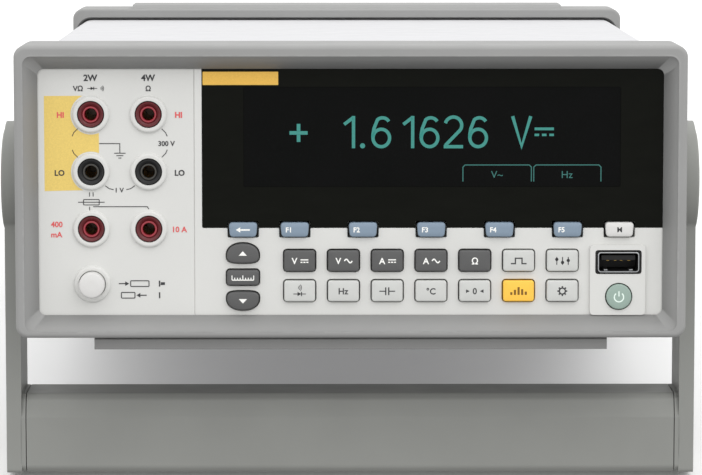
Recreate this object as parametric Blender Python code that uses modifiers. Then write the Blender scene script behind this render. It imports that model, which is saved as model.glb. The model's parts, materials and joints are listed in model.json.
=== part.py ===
"""Bench multimeter: a half-rack instrument in rubber boots, standing tilted back on its bail handle.

The shapes are drawn in the case's own frame, in millimetres: X to the right, Y from the front rim
to the back, Z up from the underside of the boots. One empty then tilts the case onto the table.
"""

import math

import bmesh
import bpy
from mathutils import Matrix, Vector

MM = 0.001
GAP = 0.3
WELD = 0.00001

# How the instrument stands: tilt of the case, and the table's depth below the case's origin.
CASE_TILT = math.radians(11.0)
TABLE_DROP = 60.8
CENTRE_FROM_FRONT = 159.0

# Boots, cover and panel.
BOOT_HALF_WIDTH = 111.0
BOOT_HEIGHT = 97.0
BOOT_RADIUS = 4.0
BOOT_EDGE = 1.2
RIM_TOP = 3.6
RIM_SIDE = 3.0
RIM_BOTTOM = 2.2
FRONT_BOOT_END = 31.5
REAR_BOOT_START = 277.0
CASE_END = 305.0
FOOT_HALF_WIDTH = 85.5
FOOT_BOTTOM = -4.9
PAD_HALF_WIDTH = 87.0
PAD_TOP = 98.5
COVER_HALF_WIDTH = 108.5
COVER_BOTTOM = 4.5
COVER_TOP = 92.5
COVER_RADIUS = 5.2
COVER_WALL = 1.2
COVER_START = 20.3
COVER_END = 292.0
OPENING_HALF_WIDTH = 103.6
OPENING_BOTTOM = 7.0
OPENING_TOP = 89.0
PANEL_FRONT = 6.5
PANEL_BACK = 9.5
SKIRT_WALL = 2.4
SKIRT_END = 20.0

# Display.
WINDOW = (-49.2, 105.0, 36.2, 89.4)
WINDOW_THICKNESS = 1.5
DISPLAY_OPENING = (-37.0, 91.0, 48.5, 84.5)
BOARD_FRONT = 17.2

# Terminals.
JACK_COLUMNS = (-86.05, -67.0)
JACK_ROWS = (73.9, 54.85, 35.8)
JACK_RADIUS = 4.2
JACK_BORE = 2.1
COLLAR_RADIUS = 6.15

# Keys: width, height and travel. Rows are heights in Z, columns are places in X.
SOFT_KEY = (9.6, 4.8)
FUNCTION_KEY = (10.3, 7.0)
KEY_TRAVEL = 1.0
KEY_FRONT = 4.7
KEY_BACK = 12.5
SOFT_ROW = 35.6
BACK_COLUMN = -35.75
RANGE_COLUMN = -35.85
F1_COLUMN = -18.6
F_PITCH = 22.65
MEMORY_COLUMN = 89.2
FUNCTION_START = -17.0
FUNCTION_PITCH = 14.55
FUNCTION_ROWS = (25.2, 15.1)
POWER_CENTRE = (89.1, 13.2)
POWER_RADIUS = 4.2
SELECT_CENTRE = (-85.9, 17.4)
SELECT_RADIUS = 4.3
USB_CENTRE = (88.95, 24.7)
USB_SIZE = (13.9, 6.9)
USB_PLATE = (79.5, 97.9, 7.4, 30.4)
USB_PLATE_FRONT = 5.4

# Handle.
PIVOT_Y = 50.0
PIVOT_Z = 48.5
HUB_RADIUS = 20.0
ARM_HALF_DEPTH = 13.25
ARM_INNER = 112.6
ARM_OUTER = 117.7
HUB_OUTER = 118.5
CAP_RADIUS = 17.5
GRIP_HALF_WIDTH = 110.9
GRIP_BOTTOM = -51.6
GRIP_CREASE = -32.2
GRIP_TOP = -24.3
STUB_RADIUS = 6.0
STUB_END = 102.5
TENON_END = 93.5
TENON = (15.2, 17.2)
POCKET_END = 90.5
POCKET_MARGIN = 0.4
BOSS_RADIUS = 18.0
BOSS_FACE = 112.0
BARREL_RADIUS = 9.0
BARREL_END = 100.0

# Rear.
REAR_PANEL = (288.5, 290.5)
FLANGE_FRONT = 290.8
FAN_CENTRE = (-22.0, 52.0)
FAN_SIZE = 40.0
VENT_COUNT = 8
VENT_START = 222.0
VENT_PITCH = 6.0
VENT_WIDTH = 2.6
FUSE_OPENING = (-88.0, -52.0, 62.0, 108.0)
TERMINAL_COLUMNS = (-88.5, -69.45)
TERMINAL_ROWS = (66.5, 47.45)

parts = bpy.data.collections.new("bench_multimeter")
cutters = bpy.data.collections.new("bench_multimeter_cutters")
finishes = {}


def clear_scene():
    for item in list(bpy.data.objects):
        bpy.data.objects.remove(item, do_unlink=True)
    bpy.context.scene.collection.children.link(parts)
    bpy.context.scene.collection.children.link(cutters)


def linear(value):
    """One sRGB channel, 0 to 255, as the linear value that a shader takes."""
    value = value / 255.0
    if value <= 0.04045:
        return value / 12.92
    return ((value + 0.055) / 1.055) ** 2.4


def add_finish(name, colour, roughness, metallic=0.0):
    material = bpy.data.materials.new(name)
    material.use_nodes = True
    shader = material.node_tree.nodes["Principled BSDF"]
    shader.inputs["Base Color"].default_value = [linear(c) for c in colour] + [1.0]
    shader.inputs["Roughness"].default_value = roughness
    shader.inputs["Metallic"].default_value = metallic
    finishes[name] = material


def add_finishes():
    add_finish("boot_rubber", (150, 150, 148), 0.6)
    add_finish("panel_plastic", (222, 222, 220), 0.45)
    add_finish("cover_paint", (238, 238, 240), 0.4)
    add_finish("window_plastic", (24, 25, 22), 0.2)
    add_finish("display_glass", (17, 20, 20), 0.15)
    add_finish("soft_key", (129, 149, 170), 0.5)
    add_finish("dark_key", (112, 114, 116), 0.5)
    add_finish("light_key", (208, 208, 208), 0.5)
    add_finish("yellow_key", (246, 196, 90), 0.5)
    add_finish("power_key", (157, 177, 167), 0.45)
    add_finish("white_key", (228, 228, 224), 0.45)
    add_finish("red_insulator", (150, 36, 40), 0.4)
    add_finish("black_insulator", (30, 30, 32), 0.45)
    add_finish("handle_plastic", (138, 139, 135), 0.55)
    add_finish("steel", (176, 178, 180), 0.35, 1.0)
    add_finish("board", (32, 92, 60), 0.5)
    add_finish("copper_winding", (158, 96, 58), 0.4, 0.6)
    add_finish("mat_rubber", (196, 196, 190), 0.7)


def rounded_rectangle(left, right, bottom, top, radius, steps=2):
    """Straight sides joined by corner arcs, counter-clockwise."""
    centres = (
        (right - radius, top - radius),
        (left + radius, top - radius),
        (left + radius, bottom + radius),
        (right - radius, bottom + radius),
    )
    points = []
    for quarter, (across, up) in enumerate(centres):
        for step in range(steps + 1):
            angle = math.radians(90.0 * (quarter + step / steps))
            points.append((across + radius * math.cos(angle), up + radius * math.sin(angle)))
    return points


def centred(centre, size, radius, margin=0.0, steps=1):
    """A rounded rectangle of a given size about its centre, grown by a margin."""
    half_width = size[0] / 2 + margin
    half_height = size[1] / 2 + margin
    across, up = centre
    return rounded_rectangle(
        across - half_width, across + half_width, up - half_height, up + half_height, radius, steps
    )


def circle(across, up, radius, count=16):
    angles = [2.0 * math.pi * step / count for step in range(count)]
    return [(across + radius * math.cos(a), up + radius * math.sin(a)) for a in angles]


def clean(mesh):
    """Welds loose caps and turns every face outward."""
    work = bmesh.new()
    work.from_mesh(mesh)
    bmesh.ops.remove_doubles(work, verts=work.verts, dist=WELD)
    bmesh.ops.recalc_face_normals(work, faces=work.faces)
    work.to_mesh(mesh)
    work.free()
    return mesh


def evaluated_mesh(guide):
    """The guide's shape as a mesh; the guide itself is removed."""
    bpy.context.scene.collection.objects.link(guide)
    bpy.context.view_layer.update()
    shape = guide.evaluated_get(bpy.context.evaluated_depsgraph_get())
    mesh = bpy.data.meshes.new_from_object(shape)
    bpy.data.objects.remove(guide, do_unlink=True)
    return clean(mesh)


EXTRUDE_TURN = {
    "X": Matrix(((0, 0, 1, 0), (1, 0, 0, 0), (0, 1, 0, 0), (0, 0, 0, 1))),
    "Y": Matrix.Rotation(math.radians(90.0), 4, "X"),
    "Z": Matrix.Identity(4),
}
SPIN_TURN = {
    "X": Matrix.Rotation(math.radians(90.0), 4, "Y"),
    "Y": Matrix.Rotation(math.radians(-90.0), 4, "X"),
}
DIRECTION = {"X": Vector((1, 0, 0)), "Y": Vector((0, 1, 0)), "Z": Vector((0, 0, 1))}


def extruded(outlines, low, high, axis="Y"):
    """A flat outline, then its holes, drawn out along an axis: (x, z) on Y, (y, z) on X, (x, y) on Z."""
    curve = bpy.data.curves.new("outline", "CURVE")
    curve.dimensions = "2D"
    curve.fill_mode = "BOTH"
    curve.extrude = 0.5 * (high - low) * MM
    for outline in outlines:
        spline = curve.splines.new("POLY")
        spline.points.add(len(outline) - 1)
        for point, (across, up) in zip(spline.points, outline):
            point.co = (across * MM, up * MM, 0.0, 1.0)
        spline.use_cyclic_u = True
    mesh = evaluated_mesh(bpy.data.objects.new("outline", curve))
    middle = DIRECTION[axis] * (0.5 * (low + high) * MM)
    mesh.transform(Matrix.Translation(middle) @ EXTRUDE_TURN[axis])
    return mesh


def turned(profile, centre, axis="Y", steps=16, closed=False):
    """A profile of (radius, place along the axis) turned about a line through the centre."""
    mesh = bpy.data.meshes.new("profile")
    points = [(radius * MM, 0.0, along * MM) for radius, along in profile]
    edges = [(index, index + 1) for index in range(len(points) - 1)]
    if closed:
        edges.append((len(points) - 1, 0))
    mesh.from_pydata(points, edges, [])
    guide = bpy.data.objects.new("profile", mesh)
    screw = guide.modifiers.new("turn", "SCREW")
    screw.axis = "Z"
    screw.steps = steps
    screw.render_steps = steps
    screw.use_merge_vertices = True
    screw.merge_threshold = WELD
    result = evaluated_mesh(guide)
    shift = Matrix.Translation(Vector(centre) * MM)
    result.transform(shift @ SPIN_TURN[axis])
    return result


def merged(meshes):
    """Separate shapes in one mesh, for a cutter that makes many holes at once."""
    work = bmesh.new()
    for mesh in meshes:
        work.from_mesh(mesh)
    result = bpy.data.meshes.new("merged")
    work.to_mesh(result)
    work.free()
    return result


def boxes(*corners):
    """One mesh holding a box for each (left, right, front, back, bottom, top)."""
    work = bmesh.new()
    for left, right, front, back, bottom, top in corners:
        size = Vector((right - left, back - front, top - bottom)) * MM
        middle = Vector((left + right, front + back, bottom + top)) * (0.5 * MM)
        matrix = Matrix.Translation(middle) @ Matrix.Diagonal(size.to_4d())
        bmesh.ops.create_cube(work, size=1.0, matrix=matrix)
    mesh = bpy.data.meshes.new("boxes")
    work.to_mesh(mesh)
    work.free()
    return mesh


def add_empty(name, location, parent=None):
    empty = bpy.data.objects.new(name, None)
    empty.empty_display_size = 20.0 * MM
    empty.location = Vector(location) * MM
    empty.parent = parent
    parts.objects.link(empty)
    return empty


def place(name, mesh, origin, frame, collection):
    """Stands a case-frame mesh on a frame, with the object's own origin at the given point."""
    mesh.name = name
    mesh.transform(Matrix.Translation(Vector(origin) * -MM))
    item = bpy.data.objects.new(name, mesh)
    item.parent = frame
    item.location = Vector(origin) * MM
    if frame is handle_pivot:
        item.location -= handle_pivot.location
    collection.objects.link(item)
    return item


def add_part(name, mesh, finish, origin=(0.0, 0.0, 0.0), frame=None):
    part = place(name, mesh, origin, frame or case_frame, parts)
    mesh.materials.clear()
    mesh.materials.append(finishes[finish])
    mesh.shade_smooth()
    mesh.set_sharp_from_angle(angle=math.radians(35.0))
    return part


def bevel(part, width, segments=2, angle=50.0):
    modifier = part.modifiers.new("edges", "BEVEL")
    modifier.width = width * MM
    modifier.segments = segments
    modifier.limit_method = "ANGLE"
    modifier.angle_limit = math.radians(angle)


def boolean(part, mesh, operation):
    tool = place(f"{part.name}_{operation.lower()}", mesh, (0.0, 0.0, 0.0), case_frame, cutters)
    tool.hide_render = True
    tool.display_type = "WIRE"
    modifier = part.modifiers.new(tool.name, "BOOLEAN")
    modifier.object = tool
    modifier.operation = operation
    modifier.solver = "EXACT"


def join(part, mesh):
    boolean(part, mesh, "UNION")


def cut(part, mesh):
    boolean(part, mesh, "DIFFERENCE")


def table_height(depth, clearance=0.0):
    """The case-frame height of the table, or of a plane a little above it, at a depth Y."""
    return (clearance - TABLE_DROP + depth * math.sin(CASE_TILT)) / math.cos(CASE_TILT)


def table_depth(height, clearance=0.0):
    """The depth Y at which the table reaches a case-frame height."""
    return (height * math.cos(CASE_TILT) + TABLE_DROP - clearance) / math.sin(CASE_TILT)


def soft_key_centres():
    centres = [("key_back", BACK_COLUMN), ("key_memory", MEMORY_COLUMN)]
    for index in range(5):
        centres.append((f"key_f{index + 1}", F1_COLUMN + index * F_PITCH))
    return [(name, (column, SOFT_ROW)) for name, column in centres]


def keys():
    """Every key: name, centre, size and finish."""
    result = []
    for name, centre in soft_key_centres():
        finish = "white_key" if name == "key_memory" else "soft_key"
        result.append((name, centre, SOFT_KEY, finish))
    result.append(("key_range_up", (RANGE_COLUMN, 27.7), (10.6, 7.0), "dark_key"))
    result.append(("key_range", (RANGE_COLUMN, 19.6), (10.6, 5.6), "dark_key"))
    result.append(("key_range_down", (RANGE_COLUMN, 11.8), (10.6, 6.7), "dark_key"))
    upper = ("dcv", "acv", "dci", "aci", "ohms", "trig", "instr_setup")
    lower = ("diode", "freq", "cap", "temp", "zero", "analyze", "meas_setup")
    for row, names in zip(FUNCTION_ROWS, (upper, lower)):
        for index, name in enumerate(names):
            finish = "light_key"
            if row == FUNCTION_ROWS[0] and index < 5:
                finish = "dark_key"
            if name == "analyze":
                finish = "yellow_key"
            centre = (FUNCTION_START + index * FUNCTION_PITCH, row)
            result.append((f"key_{name}", centre, FUNCTION_KEY, finish))
    return result


def boot_ring(front, back):
    """The outside of a boot as a solid block, before it is hollowed."""
    outline = rounded_rectangle(
        -BOOT_HALF_WIDTH, BOOT_HALF_WIDTH, 0.0, BOOT_HEIGHT, BOOT_RADIUS, 3
    )
    return extruded([outline], front, back)


def sleeve_pocket(front, back):
    """The space that a boot leaves for the cover and the front panel's skirt."""
    side = COVER_HALF_WIDTH + GAP
    outline = rounded_rectangle(-side, side, COVER_BOTTOM - GAP, COVER_TOP + GAP, COVER_RADIUS)
    return extruded([outline], front, back)


def tapered_opening(rear_outline, front_outline, rear, slope_start, front):
    """A frame opening that flares towards the front: three rings of equal count, bridged."""
    work = bmesh.new()
    rings = []
    for outline, depth in ((rear_outline, rear), (rear_outline, slope_start), (front_outline, front)):
        ring = [work.verts.new((x * MM, depth * MM, z * MM)) for x, z in outline]
        edges = [work.edges.new((ring[i], ring[(i + 1) % len(ring)])) for i in range(len(ring))]
        rings.append(edges)
    bmesh.ops.bridge_loops(work, edges=rings[0] + rings[1])
    bmesh.ops.bridge_loops(work, edges=rings[1] + rings[2])
    bmesh.ops.contextual_create(work, geom=rings[0])
    bmesh.ops.contextual_create(work, geom=rings[2])
    bmesh.ops.recalc_face_normals(work, faces=work.faces)
    mesh = bpy.data.meshes.new("opening")
    work.to_mesh(mesh)
    work.free()
    return mesh


def foot_outline(front, back):
    """A foot seen from the side, cut off level where it meets the table."""
    root = 2.0
    contact = table_depth(FOOT_BOTTOM)
    if contact >= back:
        sole = [(front, FOOT_BOTTOM), (back, FOOT_BOTTOM)]
    else:
        sole = [(front, FOOT_BOTTOM), (contact, FOOT_BOTTOM), (back, table_height(back))]
    return sole + [(back, root), (front, root)]


def add_front_boot():
    slope_start = 5.2
    rear = PANEL_FRONT - GAP
    part = add_part("front_boot", boot_ring(0.0, FRONT_BOOT_END), "boot_rubber")
    bevel(part, BOOT_EDGE)
    join(part, extruded([foot_outline(8.0, 24.0)], -FOOT_HALF_WIDTH, FOOT_HALF_WIDTH, "X"))
    inner = rounded_rectangle(-OPENING_HALF_WIDTH, OPENING_HALF_WIDTH, OPENING_BOTTOM, OPENING_TOP, 2.5)
    side = BOOT_HALF_WIDTH - RIM_SIDE
    outer = rounded_rectangle(-side, side, RIM_BOTTOM, BOOT_HEIGHT - RIM_TOP, 3.0)
    reach = 1.0
    cut(part, tapered_opening(inner, outer, rear + reach, slope_start, 0.0))
    overrun = 0.2
    cut(part, extruded([outer], -1.0, overrun))
    cut(part, sleeve_pocket(rear, FRONT_BOOT_END + 1.0))


def add_front_panel():
    left, right, bottom, top = (
        -COVER_HALF_WIDTH + GAP, COVER_HALF_WIDTH - GAP, COVER_BOTTOM + GAP, COVER_TOP - GAP
    )
    outline = rounded_rectangle(left, right, bottom, top, COVER_RADIUS)
    collar_hole = COLLAR_RADIUS - 0.7
    holes = [centred(centre, size, 1.0, GAP) for _, centre, size, _ in keys()]
    holes += [circle(x, z, collar_hole) for x in JACK_COLUMNS for z in JACK_ROWS]
    holes.append(circle(*SELECT_CENTRE, collar_hole))
    holes.append(rounded_rectangle(*DISPLAY_OPENING, 1.0, 1))
    inset = 1.0
    holes.append(
        rounded_rectangle(
            USB_PLATE[0] + inset, USB_PLATE[1] - inset, USB_PLATE[2] + inset, USB_PLATE[3] - inset, 1.0, 1
        )
    )
    part = add_part("front_panel", extruded([outline], PANEL_FRONT, PANEL_BACK), "panel_plastic")
    floor = PANEL_FRONT + WINDOW_THICKNESS + GAP
    cut(part, boxes(
        (WINDOW[0] - GAP, WINDOW[1] + GAP, PANEL_FRONT - 1.0, floor, WINDOW[2] - GAP, WINDOW[3] + GAP)
    ))
    cut(part, merged([extruded([hole], PANEL_FRONT - 1.0, PANEL_BACK + 1.0) for hole in holes]))
    step = 0.25
    outer = rounded_rectangle(left + step, right - step, bottom + step, top - step, COVER_RADIUS - step)
    inner = rounded_rectangle(
        left + SKIRT_WALL, right - SKIRT_WALL, bottom + SKIRT_WALL, top - SKIRT_WALL, 1.5
    )
    raised = [extruded([outer, inner], PANEL_BACK - 0.5, SKIRT_END)]
    centres = [(x, z) for x in JACK_COLUMNS for z in JACK_ROWS] + [SELECT_CENTRE]
    collar_front = 5.3
    collar_back = PANEL_BACK - 0.6
    for across, up in centres:
        ring = [
            (SELECT_RADIUS + GAP, collar_front),
            (COLLAR_RADIUS - 0.5, collar_front),
            (COLLAR_RADIUS, collar_front + 0.5),
            (COLLAR_RADIUS, collar_back),
            (SELECT_RADIUS + GAP, collar_back),
        ]
        raised.append(turned(ring, (across, 0.0, up), closed=True))
    plate_holes = [
        centred(USB_CENTRE, USB_SIZE, 0.5, GAP),
        circle(*POWER_CENTRE, POWER_RADIUS + GAP),
    ]
    plate = rounded_rectangle(*USB_PLATE, 1.0, 1)
    raised.append(extruded([plate] + plate_holes, USB_PLATE_FRONT, collar_back))
    join(part, merged(raised))


def window_outline():
    """The window's edge, notched from below around each soft key."""
    left, right, bottom, top = WINDOW
    points = [(right, top), (left, top), (left, bottom)]
    half = SOFT_KEY[0] / 2 + GAP
    notch_top = SOFT_ROW + SOFT_KEY[1] / 2 + GAP
    for column in sorted(centre[0] for _, centre in soft_key_centres()):
        points += [
            (column - half, bottom),
            (column - half, notch_top),
            (column + half, notch_top),
            (column + half, bottom),
        ]
    points.append((right, bottom))
    return points


def add_display():
    back = PANEL_FRONT + WINDOW_THICKNESS
    add_part("display_window", extruded([window_outline()], PANEL_FRONT, back), "window_plastic")
    glass = rounded_rectangle(-38.0, 92.0, 46.0, 86.0, 1.0, 1)
    add_part("display_module", extruded([glass], PANEL_BACK + GAP, BOARD_FRONT - GAP), "display_glass")


def add_boards():
    mat = [(-46.0, 8.0), (78.0, 8.0), (78.0, 31.0), (98.0, 31.0), (98.0, 41.0), (-46.0, 41.0)]
    mat_front = KEY_BACK + KEY_TRAVEL + 0.5
    add_part("keypad_mat", extruded([mat], mat_front, mat_front + 1.5), "mat_rubber")
    board_thickness = 1.6
    front = boxes((-47.0, 104.0, BOARD_FRONT, BOARD_FRONT + board_thickness, 8.5, 88.0))
    add_part("front_board", front, "board")
    board_level = 16.0
    back = board_level + board_thickness
    main = add_part("main_board", boxes((-98.0, 98.0, 45.0, 262.0, board_level, back)), "board")
    root = board_level + 0.5
    join(main, boxes(
        (-90.0, -52.0, 60.0, 120.0, root, 34.0),
        (-30.0, 10.0, 70.0, 130.0, root, 24.0),
        (20.0, 60.0, 150.0, 156.0, root, 44.0),
    ))
    core = add_part("power_transformer", boxes((38.0, 92.0, 214.0, 246.0, 18.0, 66.0)), "copper_winding")
    bevel(core, 1.0, 1)
    join(core, boxes((48.0, 82.0, 205.0, 255.0, 22.0, 62.0)))


def add_jacks():
    names = (("jack_input_hi", "jack_input_lo", "jack_current_low"),
             ("jack_sense_hi", "jack_sense_lo", "jack_current_high"))
    face = 5.4
    shoulder = PANEL_BACK + GAP
    body_radius = 5.5
    profile = [
        (0.0, 26.0), (JACK_BORE, 26.0), (JACK_BORE, face), (JACK_RADIUS, face),
        (JACK_RADIUS, shoulder), (body_radius, shoulder), (body_radius, 31.0), (0.0, 31.0),
    ]
    for column, column_names in zip(JACK_COLUMNS, names):
        for row, name in zip(JACK_ROWS, column_names):
            finish = "black_insulator" if name.endswith("_lo") else "red_insulator"
            add_part(name, turned(profile, (column, 0.0, row)), finish, (column, face, row))


def add_usb_port():
    front = 4.9
    back = BOARD_FRONT - GAP
    outer = centred(USB_CENTRE, USB_SIZE, 0.5)
    wall = 0.7
    inner = centred(USB_CENTRE, (USB_SIZE[0] - 2 * wall, USB_SIZE[1] - 2 * wall), 0.3)
    part = add_part("usb_port", extruded([outer], front, back), "steel")
    floor = back - 2.0
    cut(part, extruded([inner], front - 1.0, floor))
    across, up = USB_CENTRE
    join(part, boxes((across - 5.6, across + 5.6, front + 0.8, floor + 0.5, up + 0.2, up + 2.1)))


def add_keys():
    for name, centre, size, finish in keys():
        origin = (centre[0], KEY_FRONT, centre[1])
        part = add_part(name, extruded([centred(centre, size, 0.9)], KEY_FRONT, KEY_BACK), finish, origin)
        bevel(part, 0.4, 1)


def add_round_button(name, centre, radius, front, back, finish):
    edge = 0.6
    flange = radius + 0.7
    shoulder = PANEL_BACK + GAP
    profile = [
        (0.0, front), (radius - edge, front), (radius, front + edge), (radius, shoulder),
        (flange, shoulder), (flange, shoulder + 1.0), (2.0, shoulder + 1.0), (2.0, back), (0.0, back),
    ]
    add_part(name, turned(profile, (centre[0], 0.0, centre[1])), finish, (centre[0], front, centre[1]))


def add_round_buttons():
    add_round_button("power_button", POWER_CENTRE, POWER_RADIUS, 4.2, 14.5, "power_key")
    add_round_button("input_select_button", SELECT_CENTRE, SELECT_RADIUS, 1.0, 30.0, "white_key")


def add_case():
    outline = rounded_rectangle(
        -COVER_HALF_WIDTH, COVER_HALF_WIDTH, COVER_BOTTOM, COVER_TOP, COVER_RADIUS, 3
    )
    inner = rounded_rectangle(
        -COVER_HALF_WIDTH + COVER_WALL, COVER_HALF_WIDTH - COVER_WALL,
        COVER_BOTTOM + COVER_WALL, COVER_TOP - COVER_WALL, COVER_RADIUS - COVER_WALL, 3
    )
    cover = add_part("case_cover", extruded([outline, inner], COVER_START, COVER_END), "cover_paint")
    slots = []
    for index in range(VENT_COUNT):
        front = VENT_START + VENT_PITCH * index
        slots.append((-COVER_HALF_WIDTH - 1.0, COVER_HALF_WIDTH + 1.0, front, front + VENT_WIDTH, 30.0, 66.0))
    cut(cover, boxes(*slots))
    pivot_hole = circle(PIVOT_Y, PIVOT_Z, BARREL_RADIUS + GAP)
    cut(cover, extruded([pivot_hole], -COVER_HALF_WIDTH - 1.0, COVER_HALF_WIDTH + 1.0, "X"))
    cut(cover, boxes((*FUSE_OPENING, COVER_BOTTOM - 1.0, COVER_BOTTOM + 2.0)))
    clearance = 1.5
    floor = COVER_BOTTOM + COVER_WALL + clearance
    sheet = 1.2
    wall = COVER_HALF_WIDTH - COVER_WALL - clearance
    tray_top = 24.0
    tray_outline = [
        (-wall, floor), (wall, floor), (wall, tray_top), (wall - sheet, tray_top),
        (wall - sheet, floor + sheet), (-wall + sheet, floor + sheet), (-wall + sheet, tray_top),
        (-wall, tray_top),
    ]
    tray = add_part("chassis_tray", extruded([tray_outline], 24.0, 287.0), "steel")
    cut(tray, boxes((*FUSE_OPENING, floor - 1.0, floor + sheet + 1.0)))
    left, right, near, far = FUSE_OPENING
    lap = 4.0
    top = COVER_BOTTOM - GAP
    door = boxes((left - lap, right + lap, near - lap, far + lap, top - sheet, top))
    add_part("fuse_access_door", door, "cover_paint")


def tenon_span(middle, margin):
    """The reach of a tenon in depth and in height, with a margin all round."""
    depth = TENON[0] / 2 + margin
    height = TENON[1] / 2 + margin
    return PIVOT_Y - depth, PIVOT_Y + depth, middle - height, middle + height


def add_handle():
    front = PIVOT_Y - ARM_HALF_DEPTH
    back = PIVOT_Y + ARM_HALF_DEPTH
    origin = (0.0, PIVOT_Y, PIVOT_Z)
    chamfer = 2.0
    section = [
        (front + chamfer, GRIP_BOTTOM), (table_depth(GRIP_BOTTOM), GRIP_BOTTOM), (back, table_height(back)),
        (back, GRIP_TOP - chamfer), (back - chamfer, GRIP_TOP), (front + 3.5, GRIP_TOP),
        (front + 1.6, GRIP_TOP - chamfer), (front, GRIP_CREASE), (front, GRIP_BOTTOM + chamfer),
    ]
    grip = add_part(
        "handle_grip", extruded([section], -GRIP_HALF_WIDTH, GRIP_HALF_WIDTH, "X"),
        "handle_plastic", origin, handle_pivot,
    )
    middle = 0.5 * (GRIP_BOTTOM + GRIP_TOP)
    for side in (-1, 1):
        ends = sorted((side * POCKET_END, side * (GRIP_HALF_WIDTH + 1.0)))
        cut(grip, boxes((*ends, *tenon_span(middle, POCKET_MARGIN))))
    join_angle = math.asin(ARM_HALF_DEPTH / HUB_RADIUS)
    clearance = 0.4
    outline = [
        (front, GRIP_BOTTOM + 1.0), (front + 1.0, GRIP_BOTTOM),
        (table_depth(GRIP_BOTTOM, clearance), GRIP_BOTTOM), (back, table_height(back, clearance)),
    ]
    arc_steps = 18
    for step in range(arc_steps + 1):
        angle = join_angle - math.pi / 2 + (2 * math.pi - 2 * join_angle) * step / arc_steps
        outline.append((PIVOT_Y + HUB_RADIUS * math.cos(angle), PIVOT_Z + HUB_RADIUS * math.sin(angle)))
    for side, name in ((-1, "handle_arm_left"), (1, "handle_arm_right")):
        span = sorted((side * ARM_INNER, side * ARM_OUTER))
        arm = add_part(name, extruded([outline], *span, "X"), "handle_plastic", origin, handle_pivot)
        bevel(arm, 0.8, 1)
        cap_root = ARM_OUTER - 0.6
        cap_edge = 0.5
        hub = [
            (0.0, side * cap_root), (CAP_RADIUS, side * cap_root),
            (CAP_RADIUS, side * (HUB_OUTER - cap_edge)), (CAP_RADIUS - cap_edge, side * HUB_OUTER),
            (0.0, side * HUB_OUTER),
        ]
        join(arm, turned(hub, (0.0, PIVOT_Y, PIVOT_Z), "X", 24))
        stub = [(0.0, side * (ARM_INNER + 1.0)), (STUB_RADIUS, side * (ARM_INNER + 1.0)),
                (STUB_RADIUS, side * STUB_END), (0.0, side * STUB_END)]
        join(arm, turned(stub, (0.0, PIVOT_Y, PIVOT_Z), "X"))
        tenon = sorted((side * TENON_END, side * (ARM_INNER + 1.0)))
        join(arm, boxes((*tenon, *tenon_span(middle, 0.0))))


def add_bosses():
    seat = COVER_HALF_WIDTH + GAP
    chamfer = 0.8
    floor = 1.5
    for side, name in ((-1, "pivot_boss_left"), (1, "pivot_boss_right")):
        profile = [
            (STUB_RADIUS + GAP, side * BOSS_FACE), (BOSS_RADIUS - chamfer, side * BOSS_FACE),
            (BOSS_RADIUS, side * (BOSS_FACE - chamfer)), (BOSS_RADIUS, side * seat),
            (BARREL_RADIUS, side * seat), (BARREL_RADIUS, side * BARREL_END), (0.0, side * BARREL_END),
            (0.0, side * (BARREL_END + floor)), (STUB_RADIUS + GAP, side * (BARREL_END + floor)),
        ]
        add_part(name, turned(profile, (0.0, PIVOT_Y, PIVOT_Z), "X", 24, True), "handle_plastic")


def add_rear_boot():
    part = add_part("rear_boot", boot_ring(REAR_BOOT_START, CASE_END), "boot_rubber")
    bevel(part, BOOT_EDGE)
    join(part, extruded([foot_outline(284.0, CASE_END)], -FOOT_HALF_WIDTH, FOOT_HALF_WIDTH, "X"))
    pad = [
        (REAR_BOOT_START + 0.5, BOOT_HEIGHT - 1.5), (REAR_BOOT_START + 3.5, PAD_TOP),
        (CASE_END - 1.0, PAD_TOP), (CASE_END, PAD_TOP - 1.0), (CASE_END, BOOT_HEIGHT - 1.5),
    ]
    join(part, extruded([pad], -PAD_HALF_WIDTH, PAD_HALF_WIDTH, "X"))
    cut(part, sleeve_pocket(REAR_BOOT_START - 1.0, COVER_END + 2 * GAP))
    lip = 1.0
    opening = rounded_rectangle(
        -OPENING_HALF_WIDTH, OPENING_HALF_WIDTH, OPENING_BOTTOM + lip, OPENING_TOP, 2.5
    )
    cut(part, extruded([opening], COVER_END - 1.0, CASE_END + 1.0))


def add_rear_panel():
    outline = rounded_rectangle(-107.0, 107.0, 6.0, 91.0, 4.0)
    fan_x, fan_z = FAN_CENTRE
    places = (
        (67.7, 96.3, 19.7, 78.3),
        (36.7, 53.3, 37.2, 51.3),
        (3.0, 21.0, 39.0, 49.0),
        (6.0, 50.0, 64.0, 76.0),
        (-96.3, -61.7, 38.7, 75.3),
    )
    corner = 0.4
    holes = [rounded_rectangle(*place, corner, 1) for place in places]
    bar = 3.4
    for index in range(-3, 4):
        height = fan_z + index * 2 * bar * 0.75
        half = math.sqrt((FAN_SIZE / 2 - 1.5) ** 2 - (height - fan_z) ** 2)
        low, high = height - bar / 2, height + bar / 2
        holes.append(rounded_rectangle(fan_x - half, fan_x + half, low, high, 1.0, 1))
    front, back = REAR_PANEL
    panel = add_part("rear_panel", extruded([outline], front, back), "cover_paint")
    cut(panel, merged([extruded([hole], front - 1.0, back + 1.0) for hole in holes]))


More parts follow.
